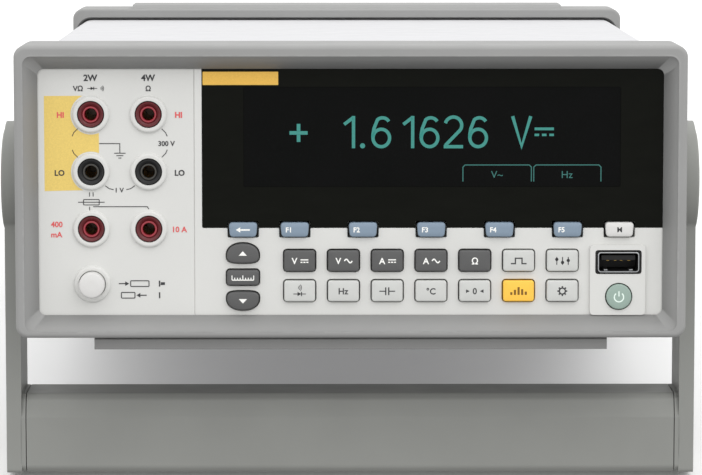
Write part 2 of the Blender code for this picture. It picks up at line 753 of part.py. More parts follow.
def add_power_inlet():
    inlet = add_part("power_inlet", boxes((68.0, 96.0, 268.0, 291.5, 20.0, 78.0)), "black_insulator")
    join(inlet, extruded([rounded_rectangle(66.0, 98.0, 17.5, 80.5, 1.5, 1)], FLANGE_FRONT, 292.8))
    socket = [(70.5, 37.0), (93.5, 37.0), (93.5, 49.5), (89.5, 53.5), (74.5, 53.5), (70.5, 49.5)]
    cut(inlet, extruded([socket], 276.0, 294.0))
    cut(inlet, boxes((71.0, 93.0, 278.0, 294.0, 62.5, 75.5)))
    cut(inlet, boxes((72.0, 92.0, 271.0, 294.0, 22.5, 30.5)))
    drawer = add_part(
        "fuse_drawer", boxes((72.4, 91.6, 271.5, 293.4, 22.9, 30.1)), "black_insulator", (82.0, 293.4, 26.5)
    )
    join(drawer, boxes((78.0, 86.0, 293.0, 294.6, 28.5, 30.1)))
    pivot = Vector((284.0, 69.0))
    tilt = Matrix.Rotation(math.radians(-8.0), 2)
    neutral = ((-4.0, -4.2), (6.5, -5.2), (5.2, 0.0), (6.5, 5.2), (-4.0, 4.2))
    outline = [tuple(pivot + tilt @ Vector(point)) for point in neutral]
    add_part("power_rocker", extruded([outline], 71.5, 92.5, "X"), "black_insulator", (82.0, *pivot))


def add_fan():
    x, z = FAN_CENTRE
    half = FAN_SIZE / 2
    front, back = 277.5, REAR_PANEL[0] - GAP
    outline = rounded_rectangle(x - half, x + half, z - half, z + half, 2.0, 1)
    duct = circle(x, z, half - 1.0, 24)
    frame = add_part("fan_frame", extruded([outline, duct], front, back), "black_insulator")
    reach = half - 0.6
    join(frame, boxes(
        (x - reach, x + reach, front + 0.1, front + 1.3, z - 1.2, z + 1.2),
        (x - 1.2, x + 1.2, front + 0.1, front + 1.3, z - reach, z + reach),
    ))
    hub_front, hub_back = front + 1.8, back - 0.6
    hub = [(0.0, hub_front), (8.0, hub_front), (8.0, hub_back), (0.0, hub_back)]
    rotor = add_part("fan_rotor", turned(hub, (x, 0.0, z)), "black_insulator", (x, hub_front, z))
    blade_count = 7
    blades = bmesh.new()
    middle = Vector((x, 0.5 * (hub_front + hub_back), z)) * MM
    size = Vector((10.6, 8.0, 1.0)) * MM
    for index in range(blade_count):
        turn = Matrix.Rotation(2.0 * math.pi * index / blade_count, 4, "Y")
        pitch = Matrix.Rotation(math.radians(35.0), 4, "X")
        out = Matrix.Translation(Vector((12.5, 0.0, 0.0)) * MM)
        matrix = Matrix.Translation(middle) @ turn @ out @ pitch @ Matrix.Diagonal(size.to_4d())
        bmesh.ops.create_cube(blades, size=1.0, matrix=matrix)
    mesh = bpy.data.meshes.new("blades")
    blades.to_mesh(mesh)
    blades.free()
    join(rotor, mesh)


def add_connectors():
    serial = add_part("rs232_connector", boxes((3.3, 20.7, 276.0, 291.2, 39.3, 48.7)), "steel")
    join(serial, extruded([rounded_rectangle(-3.4, 27.4, 37.8, 50.2, 1.0, 1)], FLANGE_FRONT, 292.0))
    shell = [(3.6, 48.2), (20.4, 48.2), (19.0, 39.8), (5.0, 39.8)]
    join(serial, extruded([shell], 291.4, 297.0))
    hollow = [(4.4, 47.6), (19.6, 47.6), (18.4, 40.4), (5.6, 40.4)]
    cut(serial, extruded([hollow], 290.0, 298.0))
    socket = add_part("lan_socket", boxes((37.0, 53.0, 272.0, 292.0, 37.5, 51.0)), "steel")
    cut(socket, boxes((39.0, 51.0, 279.0, 293.0, 40.0, 48.5)))
    bus = add_part("gpib_connector", boxes((6.3, 49.7, 276.0, 291.2, 64.3, 75.7)), "steel")
    join(bus, extruded([rounded_rectangle(1.0, 55.0, 62.5, 77.5, 1.0, 1)], FLANGE_FRONT, 292.0))
    join(bus, extruded([rounded_rectangle(8.0, 48.0, 65.5, 74.5, 2.0)], 291.6, 298.0))
    centres = [(x, z) for x in TERMINAL_COLUMNS for z in TERMINAL_ROWS]
    bores = [circle(x, z, JACK_BORE, 12) for x, z in centres]
    plate = rounded_rectangle(-98.0, -60.0, 37.0, 77.0, 2.0, 1)
    block = add_part(
        "rear_terminal_block", extruded([plate] + bores, FLANGE_FRONT, 294.0), "black_insulator"
    )
    bores = [circle(x, z, JACK_BORE + 0.4, 12) for x, z in centres]
    body = rounded_rectangle(-96.0, -62.0, 39.0, 75.0, 1.0, 1)
    join(block, extruded([body] + bores, 277.0, 291.6))
    join(block, boxes((-95.0, -63.0, 275.0, 277.6, 40.0, 74.0)))


clear_scene()
add_finishes()
case_frame = add_empty("case_frame", (0.0, -CENTRE_FROM_FRONT, TABLE_DROP))
case_frame.rotation_euler = (-CASE_TILT, 0.0, 0.0)
handle_pivot = add_empty("handle_pivot", (0.0, PIVOT_Y, PIVOT_Z), case_frame)
add_front_boot()
add_front_panel()
add_display()
add_boards()
add_jacks()
add_usb_port()
add_keys()
add_round_buttons()
add_case()
add_handle()
add_bosses()
add_rear_boot()
add_rear_panel()
add_power_inlet()
add_fan()
add_connectors()
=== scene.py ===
"""Looks of the bench multimeter: fine surfaces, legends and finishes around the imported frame.

Everything is drawn in the case's own frame, in millimetres: X to the right, Y from the front rim
to the back, Z up from the underside of the boots. CASE carries that frame onto the table.
"""

import json
import math

import bmesh
import bpy
from mathutils import Matrix, Vector
from mathutils.geometry import tessellate_polygon


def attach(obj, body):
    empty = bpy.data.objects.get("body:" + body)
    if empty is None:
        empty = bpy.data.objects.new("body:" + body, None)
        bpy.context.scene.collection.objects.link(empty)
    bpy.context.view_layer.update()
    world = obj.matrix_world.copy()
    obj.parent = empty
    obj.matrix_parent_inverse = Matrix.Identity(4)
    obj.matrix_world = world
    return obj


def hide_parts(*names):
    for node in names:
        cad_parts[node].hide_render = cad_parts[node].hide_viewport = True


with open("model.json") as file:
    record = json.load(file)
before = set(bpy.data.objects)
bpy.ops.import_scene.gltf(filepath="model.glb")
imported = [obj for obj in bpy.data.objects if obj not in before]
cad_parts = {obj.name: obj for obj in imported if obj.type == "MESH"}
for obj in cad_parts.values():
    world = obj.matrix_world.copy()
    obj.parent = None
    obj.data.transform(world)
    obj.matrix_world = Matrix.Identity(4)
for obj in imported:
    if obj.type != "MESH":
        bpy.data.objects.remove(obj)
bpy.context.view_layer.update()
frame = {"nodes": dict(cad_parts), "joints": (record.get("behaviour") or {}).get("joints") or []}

MM = 0.001

# In millimetres: corners nearer than WELD are joined, parts stand GAP apart, and a printed mark
# is PRINT thick.
WELD = 0.0005
GAP = 0.3
PRINT = 0.05
SHARP = math.radians(32.0)

# Boots, cover and panel, as the frame has them. WINDOW and USB_PLATE are left, right, bottom and
# top; PIVOT is the depth and height of the handle's axis.
BOOT_HALF_WIDTH = 111.0
BOOT_TOP = 97.0
BOOT_RADIUS = 4.0
FRONT_BOOT_END = 31.5
REAR_BOOT_START = 277.0
CASE_END = 305.0
FOOT_HALF_WIDTH = 85.5
FOOT_BOTTOM = -4.9
PAD_HALF_WIDTH = 87.0
PAD_TOP = 98.5
COVER_HALF_WIDTH = 108.5
COVER_BOTTOM = 4.5
COVER_TOP = 92.5
COVER_RADIUS = 5.2
COVER_WALL = 1.2
COVER_START = 20.3
COVER_END = 292.0
OPENING_HALF_WIDTH = 103.6
OPENING_TOP = 89.0
PANEL_FRONT = 6.5
PANEL_BACK = 9.5
WINDOW = (-49.2, 105.0, 36.2, 89.4)
USB_PLATE = (79.5, 97.9, 7.4, 30.4)
USB_PLATE_FRONT = 5.4
COLLAR_RADIUS = 6.15
JACK_RADIUS = 4.2
JACK_BORE = 2.1
PIVOT = (50.0, 48.5)
HUB_RADIUS = 20.0
REAR_FACE = 290.5


def joint_named(name):
    return next(joint for joint in frame["joints"] if joint["name"] == name)


def case_matrix():
    """From the case's own frame to the table's, both in metres."""
    inward = Vector(joint_named("dcv_press")["axis"]).normalized()
    across = Vector((1.0, 0.0, 0.0))
    turn = Matrix((across, inward, across.cross(inward))).transposed()
    pivot = Vector(joint_named("handle_swing")["pos_m"])
    origin = pivot - turn @ (Vector((0.0, *PIVOT)) * MM)
    return Matrix.Translation(origin) @ turn.to_4x4()


CASE = case_matrix()
TO_CASE = CASE.inverted()


def case_box(node):
    """A CAD node's lowest and highest corner in the case's frame, in millimetres."""
    points = [(TO_CASE @ v.co) / MM for v in frame["nodes"][node].data.vertices]
    low = Vector([min(p[k] for p in points) for k in range(3)])
    high = Vector([max(p[k] for p in points) for k in range(3)])
    return low, high


def case_centre(node):
    low, high = case_box(node)
    return (low + high) / 2


# ---------------------------------------------------------------- planes that shapes are drawn on


def front(depth):
    """Drawn as seen from the front: right, up, and out towards the viewer."""
    return Matrix(((1, 0, 0, 0), (0, 0, -1, depth), (0, 1, 0, 0), (0, 0, 0, 1)))


def rear(depth):
    return Matrix(((-1, 0, 0, 0), (0, 0, 1, depth), (0, 1, 0, 0), (0, 0, 0, 1)))


def flank(side):
    """Drawn as seen from the right (side 1) or from the left (side -1)."""
    return Matrix(((0, 0, side, 0), (side, 0, 0, 0), (0, 1, 0, 0), (0, 0, 0, 1)))


def below(height):
    return Matrix(((1, 0, 0, 0), (0, -1, 0, 0), (0, 0, -1, height), (0, 0, 0, 1)))


# ---------------------------------------------------------------- outlines


def rounded(left, right, bottom, top, radius, steps=6):
    """Straight sides joined by corner arcs, counter-clockwise."""
    centres = (
        (right - radius, top - radius),
        (left + radius, top - radius),
        (left + radius, bottom + radius),
        (right - radius, bottom + radius),
    )
    points = []
    for quarter, (across, up) in enumerate(centres):
        for step in range(steps + 1):
            angle = math.radians(90.0 * (quarter + step / steps))
            points.append((across + radius * math.cos(angle), up + radius * math.sin(angle)))
    return points


def rounded_about(width, height, radius, steps=6):
    return rounded(-width / 2, width / 2, -height / 2, height / 2, radius, steps)


def circle(radius, count=48, across=0.0, up=0.0):
    angles = [2.0 * math.pi * step / count for step in range(count)]
    return [(across + radius * math.cos(a), up + radius * math.sin(a)) for a in angles]


def arc(across, up, radius, start, end, steps=12):
    """Points along an arc, its angles in degrees."""
    angles = [math.radians(start + (end - start) * step / steps) for step in range(steps + 1)]
    return [(across + radius * math.cos(a), up + radius * math.sin(a)) for a in angles]


def filleted(points, radius, steps=4):
    """A polygon with each corner rounded, as far as its sides allow."""
    result = []
    count = len(points)
    for index in range(count):
        corner = Vector(points[index])
        back = Vector(points[index - 1]) - corner
        ahead = Vector(points[(index + 1) % count]) - corner
        half = back.angle(ahead) / 2
        reach = min(radius / math.tan(half), 0.45 * back.length, 0.45 * ahead.length)
        start = corner + back.normalized() * reach
        end = corner + ahead.normalized() * reach
        for step in range(steps + 1):
            t = step / steps
            result.append(tuple((1 - t) ** 2 * start + 2 * t * (1 - t) * corner + t * t * end))
    return result


def moved(outline, across, up):
    return [(a + across, u + up) for a, u in outline]


def inset(points, distance):
    """The outline moved inward, each side parallel to itself."""
    result = []
    count = len(points)
    for index in range(count):
        before = (Vector(points[index]) - Vector(points[index - 1])).normalized()
        after = (Vector(points[(index + 1) % count]) - Vector(points[index])).normalized()
        normal = Vector((-before.y - after.y, before.x + after.x))
        normal.normalize()
        stretch = max(0.35, normal.dot(Vector((-before.y, before.x))))
        result.append(tuple(Vector(points[index]) + normal * (distance / stretch)))
    return result
def rounding(radius, steps=5):
    """(inset, drop) pairs over a quarter turn, from the side wall to the face."""
    angles = [math.radians(90.0 * step / steps) for step in range(steps + 1)]
    return [(radius * (1 - math.cos(a)), radius * (1 - math.sin(a))) for a in angles]


# ---------------------------------------------------------------- shapes (bmesh, millimetres)


def link(item):
    bpy.context.scene.collection.objects.link(item)
    return item


def evaluated(item):
    """A new mesh of an object, as its curve settings or its modifiers make it."""
    bpy.context.view_layer.update()
    return bpy.data.meshes.new_from_object(item.evaluated_get(bpy.context.evaluated_depsgraph_get()))


def taken(mesh):
    """A shape from a mesh that isn't needed any more."""
    shape = bmesh.new()
    shape.from_mesh(mesh)
    bpy.data.meshes.remove(mesh)
    return shape


def drawn_out(curve, thickness):
    """A flat curve thickened evenly to both sides of its plane."""
    curve.extrude = 0.5 * thickness
    guide = link(bpy.data.objects.new("outline", curve))
    mesh = evaluated(guide)
    bpy.data.objects.remove(guide, do_unlink=True)
    bpy.data.curves.remove(curve)
    shape = taken(mesh)
    bmesh.ops.remove_doubles(shape, verts=shape.verts, dist=WELD)
    return shape


def soften(shape, edges, width, segments=3):
    bmesh.ops.bevel(
        shape, geom=edges, offset=width, offset_type="OFFSET", segments=segments,
        profile=0.5, affect="EDGES", clamp_overlap=True,
    )


def wall_between(shape, lower, upper):
    """Faces between two loops of equal count."""
    for index in range(len(lower)):
        ahead = (index + 1) % len(lower)
        shape.faces.new((lower[index], lower[ahead], upper[ahead], upper[index]))


def loft(rings, closed=False):
    """Rings of equal count joined in order; open ends are capped."""
    shape = bmesh.new()
    loops = [[shape.verts.new(point) for point in ring] for ring in rings]
    pairs = list(zip(loops, loops[1:]))
    if closed:
        pairs.append((loops[-1], loops[0]))
    for lower, upper in pairs:
        wall_between(shape, lower, upper)
    if not closed:
        shape.faces.new(loops[0])
        shape.faces.new(loops[-1])
    bmesh.ops.recalc_face_normals(shape, faces=shape.faces)
    return shape


def lathe(profile, steps=48, closed=False):
    """A profile of (radius, height) turned about the line towards the viewer."""
    shape = bmesh.new()
    rings = []
    for radius, height in profile:
        if radius < WELD:
            rings.append([shape.verts.new((0.0, 0.0, height))])
            continue
        rings.append([shape.verts.new((x, y, height)) for x, y in circle(radius, steps)])
    pairs = list(zip(rings, rings[1:]))
    if closed:
        pairs.append((rings[-1], rings[0]))
    for lower, upper in pairs:
        for index in range(steps):
            ahead = (index + 1) % steps
            corners = [lower[index % len(lower)], lower[ahead % len(lower)]]
            corners += [upper[ahead % len(upper)], upper[index % len(upper)]]
            unique = list(dict.fromkeys(corners))
            if len(unique) > 2:
                shape.faces.new(unique)
    bmesh.ops.recalc_face_normals(shape, faces=shape.faces)
    return shape


def slab(outlines, low, high, edge=0.0, segments=3, both=False):
    """A flat outline, then its holes, drawn out towards the viewer, its front edges rounded."""
    curve = bpy.data.curves.new("outline", "CURVE")
    curve.dimensions = "2D"
    curve.fill_mode = "BOTH"
    for outline in outlines:
        spline = curve.splines.new("POLY")
        spline.points.add(len(outline) - 1)
        for point, (across, up) in zip(spline.points, outline):
            point.co = (across, up, 0.0, 1.0)
        spline.use_cyclic_u = True
    shape = drawn_out(curve, high - low)
    bmesh.ops.translate(shape, verts=shape.verts, vec=(0, 0, 0.5 * (low + high)))
    bmesh.ops.recalc_face_normals(shape, faces=shape.faces)
    if edge:
        tops = [high, low] if both else [high]
        soften(shape, [e for e in shape.edges if any(on_rim(e, top) for top in tops)], edge, segments)
    return shape


def soft_plate(outer, holes, low, high, edge):
    """A plate with holes, all outlines counter-clockwise, their front edges rounded by rings."""
    shape = bmesh.new()
    backs, fronts = [], []
    for outline, way in [(outer, 1)] + [(hole, -1) for hole in holes]:
        rings = [[(x, y, low) for x, y in outline]]
        for inward, drop in rounding(edge, 3):
            rings.append([(x, y, high - drop) for x, y in inset(outline, way * inward)])
        loops = [[shape.verts.new(point) for point in ring] for ring in rings]
        for lower, upper in zip(loops, loops[1:]):
            wall_between(shape, lower, upper)
        backs.append(loops[0])
        fronts.append(loops[-1])
    for flat in (backs, fronts):
        corners = [vertex for loop in flat for vertex in loop]
        for triangle_corners in tessellate_polygon([[vertex.co for vertex in loop] for loop in flat]):
            shape.faces.new([corners[index] for index in triangle_corners])
    bmesh.ops.recalc_face_normals(shape, faces=shape.faces)
    return shape


def on_rim(edge, height):
    """Whether an edge lies at a height and joins a flat face to a side wall."""
    if any(abs(v.co.z - height) > WELD for v in edge.verts) or len(edge.link_faces) != 2:
        return False
    return edge.calc_face_angle(0.0) > math.radians(40.0)


def dome(outline_at, low, high, edge, crown, reach):
    """A cap with rounded edges and a crowned face; outline_at gives the outline at an inset."""
    steps = 5
    shoulder = high - crown
    rings = [[(x, y, low) for x, y in outline_at(0.0)]]
    for step in range(steps + 1):
        angle = math.radians(90.0 * step / steps)
        depth = edge * (1.0 - math.cos(angle))
        height = shoulder - edge + edge * math.sin(angle)
        rings.append([(x, y, height) for x, y in outline_at(depth)])
    for step in range(1, steps + 1):
        t = step / steps
        height = shoulder + crown * (1.0 - (1.0 - t) ** 2)
        rings.append([(x, y, height) for x, y in outline_at(edge + (reach - edge) * t)])
    return loft(rings)


def stroke(path, width, closed=False):
    """A flat printed line of even width along a path."""
    low, high = 0.0, PRINT
    points = [Vector(point) for point in path]
    count = len(points)
    rings = []
    for index, point in enumerate(points):
        before = points[index - 1] if index or closed else point
        after = points[(index + 1) % count] if index < count - 1 or closed else point
        into = (point - before).normalized() if (point - before).length else (after - point).normalized()
        out = (after - point).normalized() if (after - point).length else into
        normal = Vector((-into.y - out.y, into.x + out.x)).normalized()
        stretch = max(0.5, normal.dot(Vector((-into.y, into.x))))
        shift = normal * (0.5 * width / stretch)
        left, right = point + shift, point - shift
        rings.append([(*left, low), (*right, low), (*right, high), (*left, high)])
    return loft(rings, closed)


def text(body, size, bold=0.0):
    """Generic lettering as a thin solid, centred on the origin."""
    curve = bpy.data.curves.new("text", "FONT")
    curve.body = body
    curve.size = size
    curve.align_x = "CENTER"
    curve.align_y = "CENTER"
    curve.offset = bold
    curve.resolution_u = 3
    shape = drawn_out(curve, PRINT)
    across = [v.co.x for v in shape.verts]
    up = [v.co.y for v in shape.verts]
    middle = Vector((0.5 * (min(across) + max(across)), 0.5 * (min(up) + max(up)), 0.0))
    bmesh.ops.translate(shape, verts=shape.verts, vec=-middle + Vector((0, 0, 0.5 * PRINT)))
    bmesh.ops.recalc_face_normals(shape, faces=shape.faces)
    return shape


def box(left, right, low, high, bottom, top, edge=0.0):
    """A block in the case's frame, its edges rounded."""
    shape = bmesh.new()
    size = Vector((right - left, high - low, top - bottom))
    middle = Vector((left + right, low + high, bottom + top)) / 2
    matrix = Matrix.Translation(middle) @ Matrix.Diagonal(size.to_4d())
    bmesh.ops.create_cube(shape, size=1.0, matrix=matrix)
    if edge:
        soften(shape, shape.edges[:], edge)
    return shape


def put(shape, matrix=None, x=0.0, y=0.0, z=0.0):
    """Moves a shape from its drawing plane to its place in the case's frame."""
    shape.transform(Matrix.Translation((x, y, z)) @ (matrix or Matrix.Identity(4)))
    return shape


def shift(shape, across, up):
    """Moves a shape within its drawing plane."""
    bmesh.ops.translate(shape, verts=shape.verts, vec=(across, up, 0.0))
    return shape
def at_face(node, shapes, behind=0.0):
    """Shapes drawn about a node's middle, put on its front face or a little behind it."""
    low, high = case_box(node)
    middle = (low + high) / 2
    return [put(shape, front(low.y + behind), middle.x, 0.0, middle.z) for shape in shapes]


def across_case(outline, left, right, edge=0.0, segments=3):
    """A bar across the case with this side view, both its ends rounded."""
    return put(slab([outline], left, right, edge, segments, True), flank(1))


def on_pivot(shape, side):
    """A shape drawn from the side, put about the handle's pivot."""
    return put(shape, flank(side), 0.0, *PIVOT)


def turned_round(outline):
    """An outline of (right, up) as rear(...) takes it, seen from behind."""
    return [(-across, up) for across, up in outline]


def rear_plate(outlines, low, high, edge=0.0, segments=3):
    """A plate with holes that faces backward, from one depth to another."""
    return put(slab([turned_round(outline) for outline in outlines], low, high, edge, segments), rear(0.0))

def gather(shapes):
    """One mesh, in metres, from several shapes."""
    work = bmesh.new()
    for shape in shapes:
        mesh = bpy.data.meshes.new("shape")
        shape.to_mesh(mesh)
        shape.free()
        work.from_mesh(mesh)
        bpy.data.meshes.remove(mesh)
    work.transform(Matrix.Scale(MM, 4))
    result = bpy.data.meshes.new("gathered")
    work.to_mesh(result)
    work.free()
    return result


def combine(mesh, shapes, operation):
    """The mesh after a union with the shapes or a cut by them."""
    base = link(bpy.data.objects.new("base", mesh))
    tool = link(bpy.data.objects.new("tool", gather(shapes)))
    modifier = base.modifiers.new("combine", "BOOLEAN")
    modifier.operation = operation
    modifier.solver = "EXACT"
    modifier.object = tool
    result = evaluated(base)
    for item in (base, tool):
        bpy.data.objects.remove(item, do_unlink=True)
    return result


def flat_normals(mesh):
    """Corner normals with which faces square to the case look flat and roundings blend into them."""
    square = math.cos(math.radians(0.5))
    blend = math.cos(math.radians(50.0))
    flat = {}
    for polygon in mesh.polygons:
        if max(abs(share) for share in polygon.normal) > square:
            for vertex in polygon.vertices:
                flat.setdefault(vertex, []).append(polygon.normal.copy())
    normals = [corner.vector.copy() for corner in mesh.corner_normals]
    for polygon in mesh.polygons:
        for index in polygon.loop_indices:
            near = flat.get(mesh.loops[index].vertex_index, [])
            if max(abs(share) for share in polygon.normal) > square:
                normals[index] = polygon.normal.copy()
            elif near:
                best = max(near, key=polygon.normal.dot)
                if best.dot(polygon.normal) > blend:
                    normals[index] = best
    return normals


def add(name, shapes, finish, body="case", replaces=(), joins=(), cuts=()):
    """A finished piece: its shapes as one mesh, with its material, on its body."""
    mesh = gather(shapes)
    if joins:
        mesh = combine(mesh, joins, "UNION")
    if cuts:
        mesh = combine(mesh, cuts, "DIFFERENCE")
    mesh.name = name
    mesh.materials.clear()
    mesh.materials.append(FINISH[finish])
    mesh.shade_smooth()
    mesh.set_sharp_from_angle(angle=SHARP)
    normals = flat_normals(mesh)
    mesh.transform(CASE)
    turn = CASE.to_3x3()
    mesh.normals_split_custom_set([turn @ normal for normal in normals])
    item = link(bpy.data.objects.new(name, mesh))
    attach(item, body)
    if replaces:
        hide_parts(*replaces)


# ---------------------------------------------------------------- materials


def linear(value):
    """One sRGB channel, 0 to 255, as the linear value that a shader takes."""
    value = value / 255.0
    if value <= 0.04045:
        return value / 12.92
    return ((value + 0.055) / 1.055) ** 2.4


def colour(red, green, blue, share=1.0):
    return (linear(red) * share, linear(green) * share, linear(blue) * share, 1.0)


class Nodes:
    """A material's node tree with short calls for the nodes used here."""

    def __init__(self, name):
        self.material = bpy.data.materials.new(name)
        self.material.use_nodes = True
        self.tree = self.material.node_tree
        self.shader = self.tree.nodes["Principled BSDF"]
        self.place = self.add("ShaderNodeTexCoord").outputs["Object"]

    def add(self, kind, **settings):
        node = self.tree.nodes.new(kind)
        for key, value in settings.items():
            setattr(node, key, value)
        return node

    def link(self, source, target):
        self.tree.links.new(source, target)

    def feed(self, socket, value):
        """Gives a socket a number or a colour, or links another socket to it."""
        if isinstance(value, (int, float, tuple)):
            socket.default_value = value
        else:
            self.link(value, socket)

    def stretched(self, scale):
        node = self.add("ShaderNodeMapping")
        node.inputs["Scale"].default_value = scale
        self.link(self.place, node.inputs["Vector"])
        return node.outputs["Vector"]

    def noise(self, size, detail=2.0, rough=0.5, vector=None):
        """Noise whose blotches are about size millimetres across, from 0 to 1."""
        node = self.add("ShaderNodeTexNoise")
        node.inputs["Scale"].default_value = 1.0 / (size * MM)
        node.inputs["Detail"].default_value = detail
        node.inputs["Roughness"].default_value = rough
        self.link(vector or self.place, node.inputs["Vector"])
        return node.outputs["Fac"]

    def cells(self, size, feature="F1"):
        """Distances within cells that are about size millimetres across."""
        node = self.add("ShaderNodeTexVoronoi", feature=feature)
        node.inputs["Scale"].default_value = 1.0 / (size * MM)
        self.link(self.place, node.inputs["Vector"])
        return node.outputs["Distance"]

    def ramp(self, value, low, high, start=0.0, end=1.0):
        """Maps low to high onto start to end, held at both ends."""
        node = self.add("ShaderNodeMapRange")
        for key, number in zip(("From Min", "From Max", "To Min", "To Max"), (low, high, start, end)):
            node.inputs[key].default_value = number
        self.link(value, node.inputs["Value"])
        return node.outputs["Result"]

    def maths(self, operation, first, second):
        node = self.add("ShaderNodeMath", operation=operation)
        for socket, value in zip(node.inputs, (first, second)):
            self.feed(socket, value)
        return node.outputs[0]

    def mix(self, share, first, second):
        """A colour between two, each a colour or a socket."""
        node = self.add("ShaderNodeMix", data_type="RGBA")
        self.link(share, node.inputs["Factor"])
        for key, value in (("A", first), ("B", second)):
            self.feed(next(s for s in node.inputs if s.name == key and s.type == "RGBA"), value)
        return next(s for s in node.outputs if s.type == "RGBA")

    def shades(self, share, base, dark, light):
        """A colour between two strengths of the base colour."""
        return self.mix(share, colour(*base, share=dark), colour(*base, share=light))

    def sheen(self, roughness, swing, size, detail, rough=0.5):
        """Roughness that wanders by swing to both sides."""
        return self.ramp(self.noise(size, detail, rough), 0.3, 0.7, roughness - swing, roughness + swing)

    def rubbed(self, shade, base, wear, reach, patch, start, gain, lift):
        """The shade, paler in patches along the sharp edges."""
        edges = self.edges(reach)
        patches = self.ramp(self.noise(patch, 4.0), start, start + 0.3, 0.0, wear)
        pale = tuple(min(1.0, c * gain + lift) for c in colour(*base)[:3]) + (1.0,)
        return self.mix(self.maths("MULTIPLY", edges, patches), shade, pale)

    def edges(self, radius):
        """1 along the sharp edges of the shape, 0 on its flat faces."""
        low, high = 0.01, 0.22
        bevel = self.add("ShaderNodeBevel", samples=4)
        bevel.inputs["Radius"].default_value = radius * MM
        flat = self.add("ShaderNodeNewGeometry").outputs["Normal"]
        node = self.add("ShaderNodeVectorMath", operation="DOT_PRODUCT")
        self.link(bevel.outputs["Normal"], node.inputs[0])
        self.link(flat, node.inputs[1])
        return self.ramp(node.outputs["Value"], 1.0 - low, 1.0 - high)

    def bump(self, height, strength, distance):
        node = self.add("ShaderNodeBump")
        node.inputs["Strength"].default_value = strength
        node.inputs["Distance"].default_value = distance * MM
        self.link(height, node.inputs["Height"])
        self.link(node.outputs["Normal"], self.shader.inputs["Normal"])

    def set(self, **values):
        for key, value in values.items():
            self.feed(self.shader.inputs[key.replace("_", " ")], value)
        return self.material


def moulded(name, base, roughness, mottle, grain, grain_size, wear, specular):
    """Plastic, rubber or paint: fine grain, faint blotches, uneven sheen and edges rubbed pale."""
    nodes = Nodes(name)
    blotch = nodes.noise(22.0, 3.0)
    fleck = nodes.noise(grain_size * 2.2, 2.0)
    tone = nodes.maths("ADD", nodes.maths("MULTIPLY", blotch, 0.7), nodes.maths("MULTIPLY", fleck, 0.3))
    shade = nodes.shades(nodes.ramp(tone, 0.3, 0.7), base, 1.0 - mottle, 1.0 + mottle)
    if wear:
        shade = nodes.rubbed(shade, base, wear, 0.5, 3.0, 0.42, 1.5, 0.04)
    sheen = nodes.sheen(roughness, 0.07, 9.0, 4.0, 0.6)
    nodes.bump(nodes.noise(grain_size, 3.0, 0.65), grain, 0.06)
    return nodes.set(Base_Color=shade, Roughness=sheen, Specular_IOR_Level=specular)


def stippled(name, base, roughness, pit_size, depth, mottle, wear, specular):
    """Spark-eroded moulding texture: small round pits over faint blotches."""
    nodes = Nodes(name)
    shade = nodes.shades(nodes.ramp(nodes.noise(30.0, 4.0), 0.3, 0.7), base, 1.0 - mottle, 1.0 + mottle)
    if wear:
        shade = nodes.rubbed(shade, base, wear, 0.6, 4.0, 0.4, 1.35, 0.03)
    pits = nodes.cells(pit_size, "SMOOTH_F1")
    fine = nodes.noise(pit_size * 0.6, 2.0)
    nodes.bump(nodes.maths("ADD", pits, nodes.maths("MULTIPLY", fine, 0.6)), 0.35, depth)
    sheen = nodes.sheen(roughness, 0.06, 12.0, 3.0)
    return nodes.set(Base_Color=shade, Roughness=sheen, Specular_IOR_Level=specular)


def brushed(name, base, roughness=0.3, stretch=(1.0, 1.0, 0.04)):
    """Plated or rolled metal: fine draw lines and faint tarnish."""
    nodes = Nodes(name)
    lines = nodes.noise(0.25, 3.0, 0.6, nodes.stretched(stretch))
    tarnish = nodes.ramp(nodes.noise(6.0, 4.0), 0.35, 0.75)
    sheen = nodes.maths("ADD", nodes.ramp(lines, 0.2, 0.8, roughness - 0.08, roughness + 0.08),
                        nodes.maths("MULTIPLY", tarnish, 0.08))
    nodes.bump(lines, 0.15, 0.02)
    return nodes.set(Base_Color=nodes.shades(tarnish, base, 1.0, 0.78), Roughness=sheen, Metallic=1.0)


def ink(name, base):
    """Screen-printed ink: nearly flat, with a trace of mesh texture and thin spots."""
    nodes = Nodes(name)
    shade = nodes.shades(nodes.ramp(nodes.noise(0.5, 3.0), 0.35, 0.75), base, 1.0, 1.12)
    nodes.bump(nodes.noise(0.15, 2.0), 0.1, 0.01)
    return nodes.set(Base_Color=shade, Roughness=nodes.sheen(0.55, 0.05, 1.5, 2.0), Specular_IOR_Level=0.3)


def glowing(name, base):
    """Lit phosphor: a pale glow that is a little uneven from dot to dot."""
    nodes = Nodes(name)
    dots = nodes.ramp(nodes.noise(0.4, 2.0), 0.3, 0.7)
    nodes.bump(dots, 0.05, 0.01)
    return nodes.set(Base_Color=colour(20, 40, 38), Emission_Color=nodes.shades(dots, base, 0.88, 1.08),
                     Emission_Strength=1.0, Roughness=0.4)


def window_finish():
    """Dark filter plastic, polished, with the faint smears of a wiped surface."""
    nodes = Nodes("window_filter")
    smear = nodes.noise(14.0, 5.0, 0.65, nodes.stretched((1.0, 1.0, 3.0)))
    dust = nodes.ramp(nodes.cells(2.6), 0.0, 0.05, 1.0, 0.0)
    shade = nodes.mix(nodes.ramp(smear, 0.35, 0.7), colour(13, 14, 10), colour(16, 17, 13))
    shade = nodes.mix(nodes.maths("MULTIPLY", dust, 0.25), shade, colour(70, 70, 68))
    rough = nodes.ramp(smear, 0.3, 0.75, 0.14, 0.26)
    nodes.bump(nodes.noise(6.0, 3.0), 0.06, 0.03)
    return nodes.set(Base_Color=shade, Roughness=rough, Specular_IOR_Level=0.06)


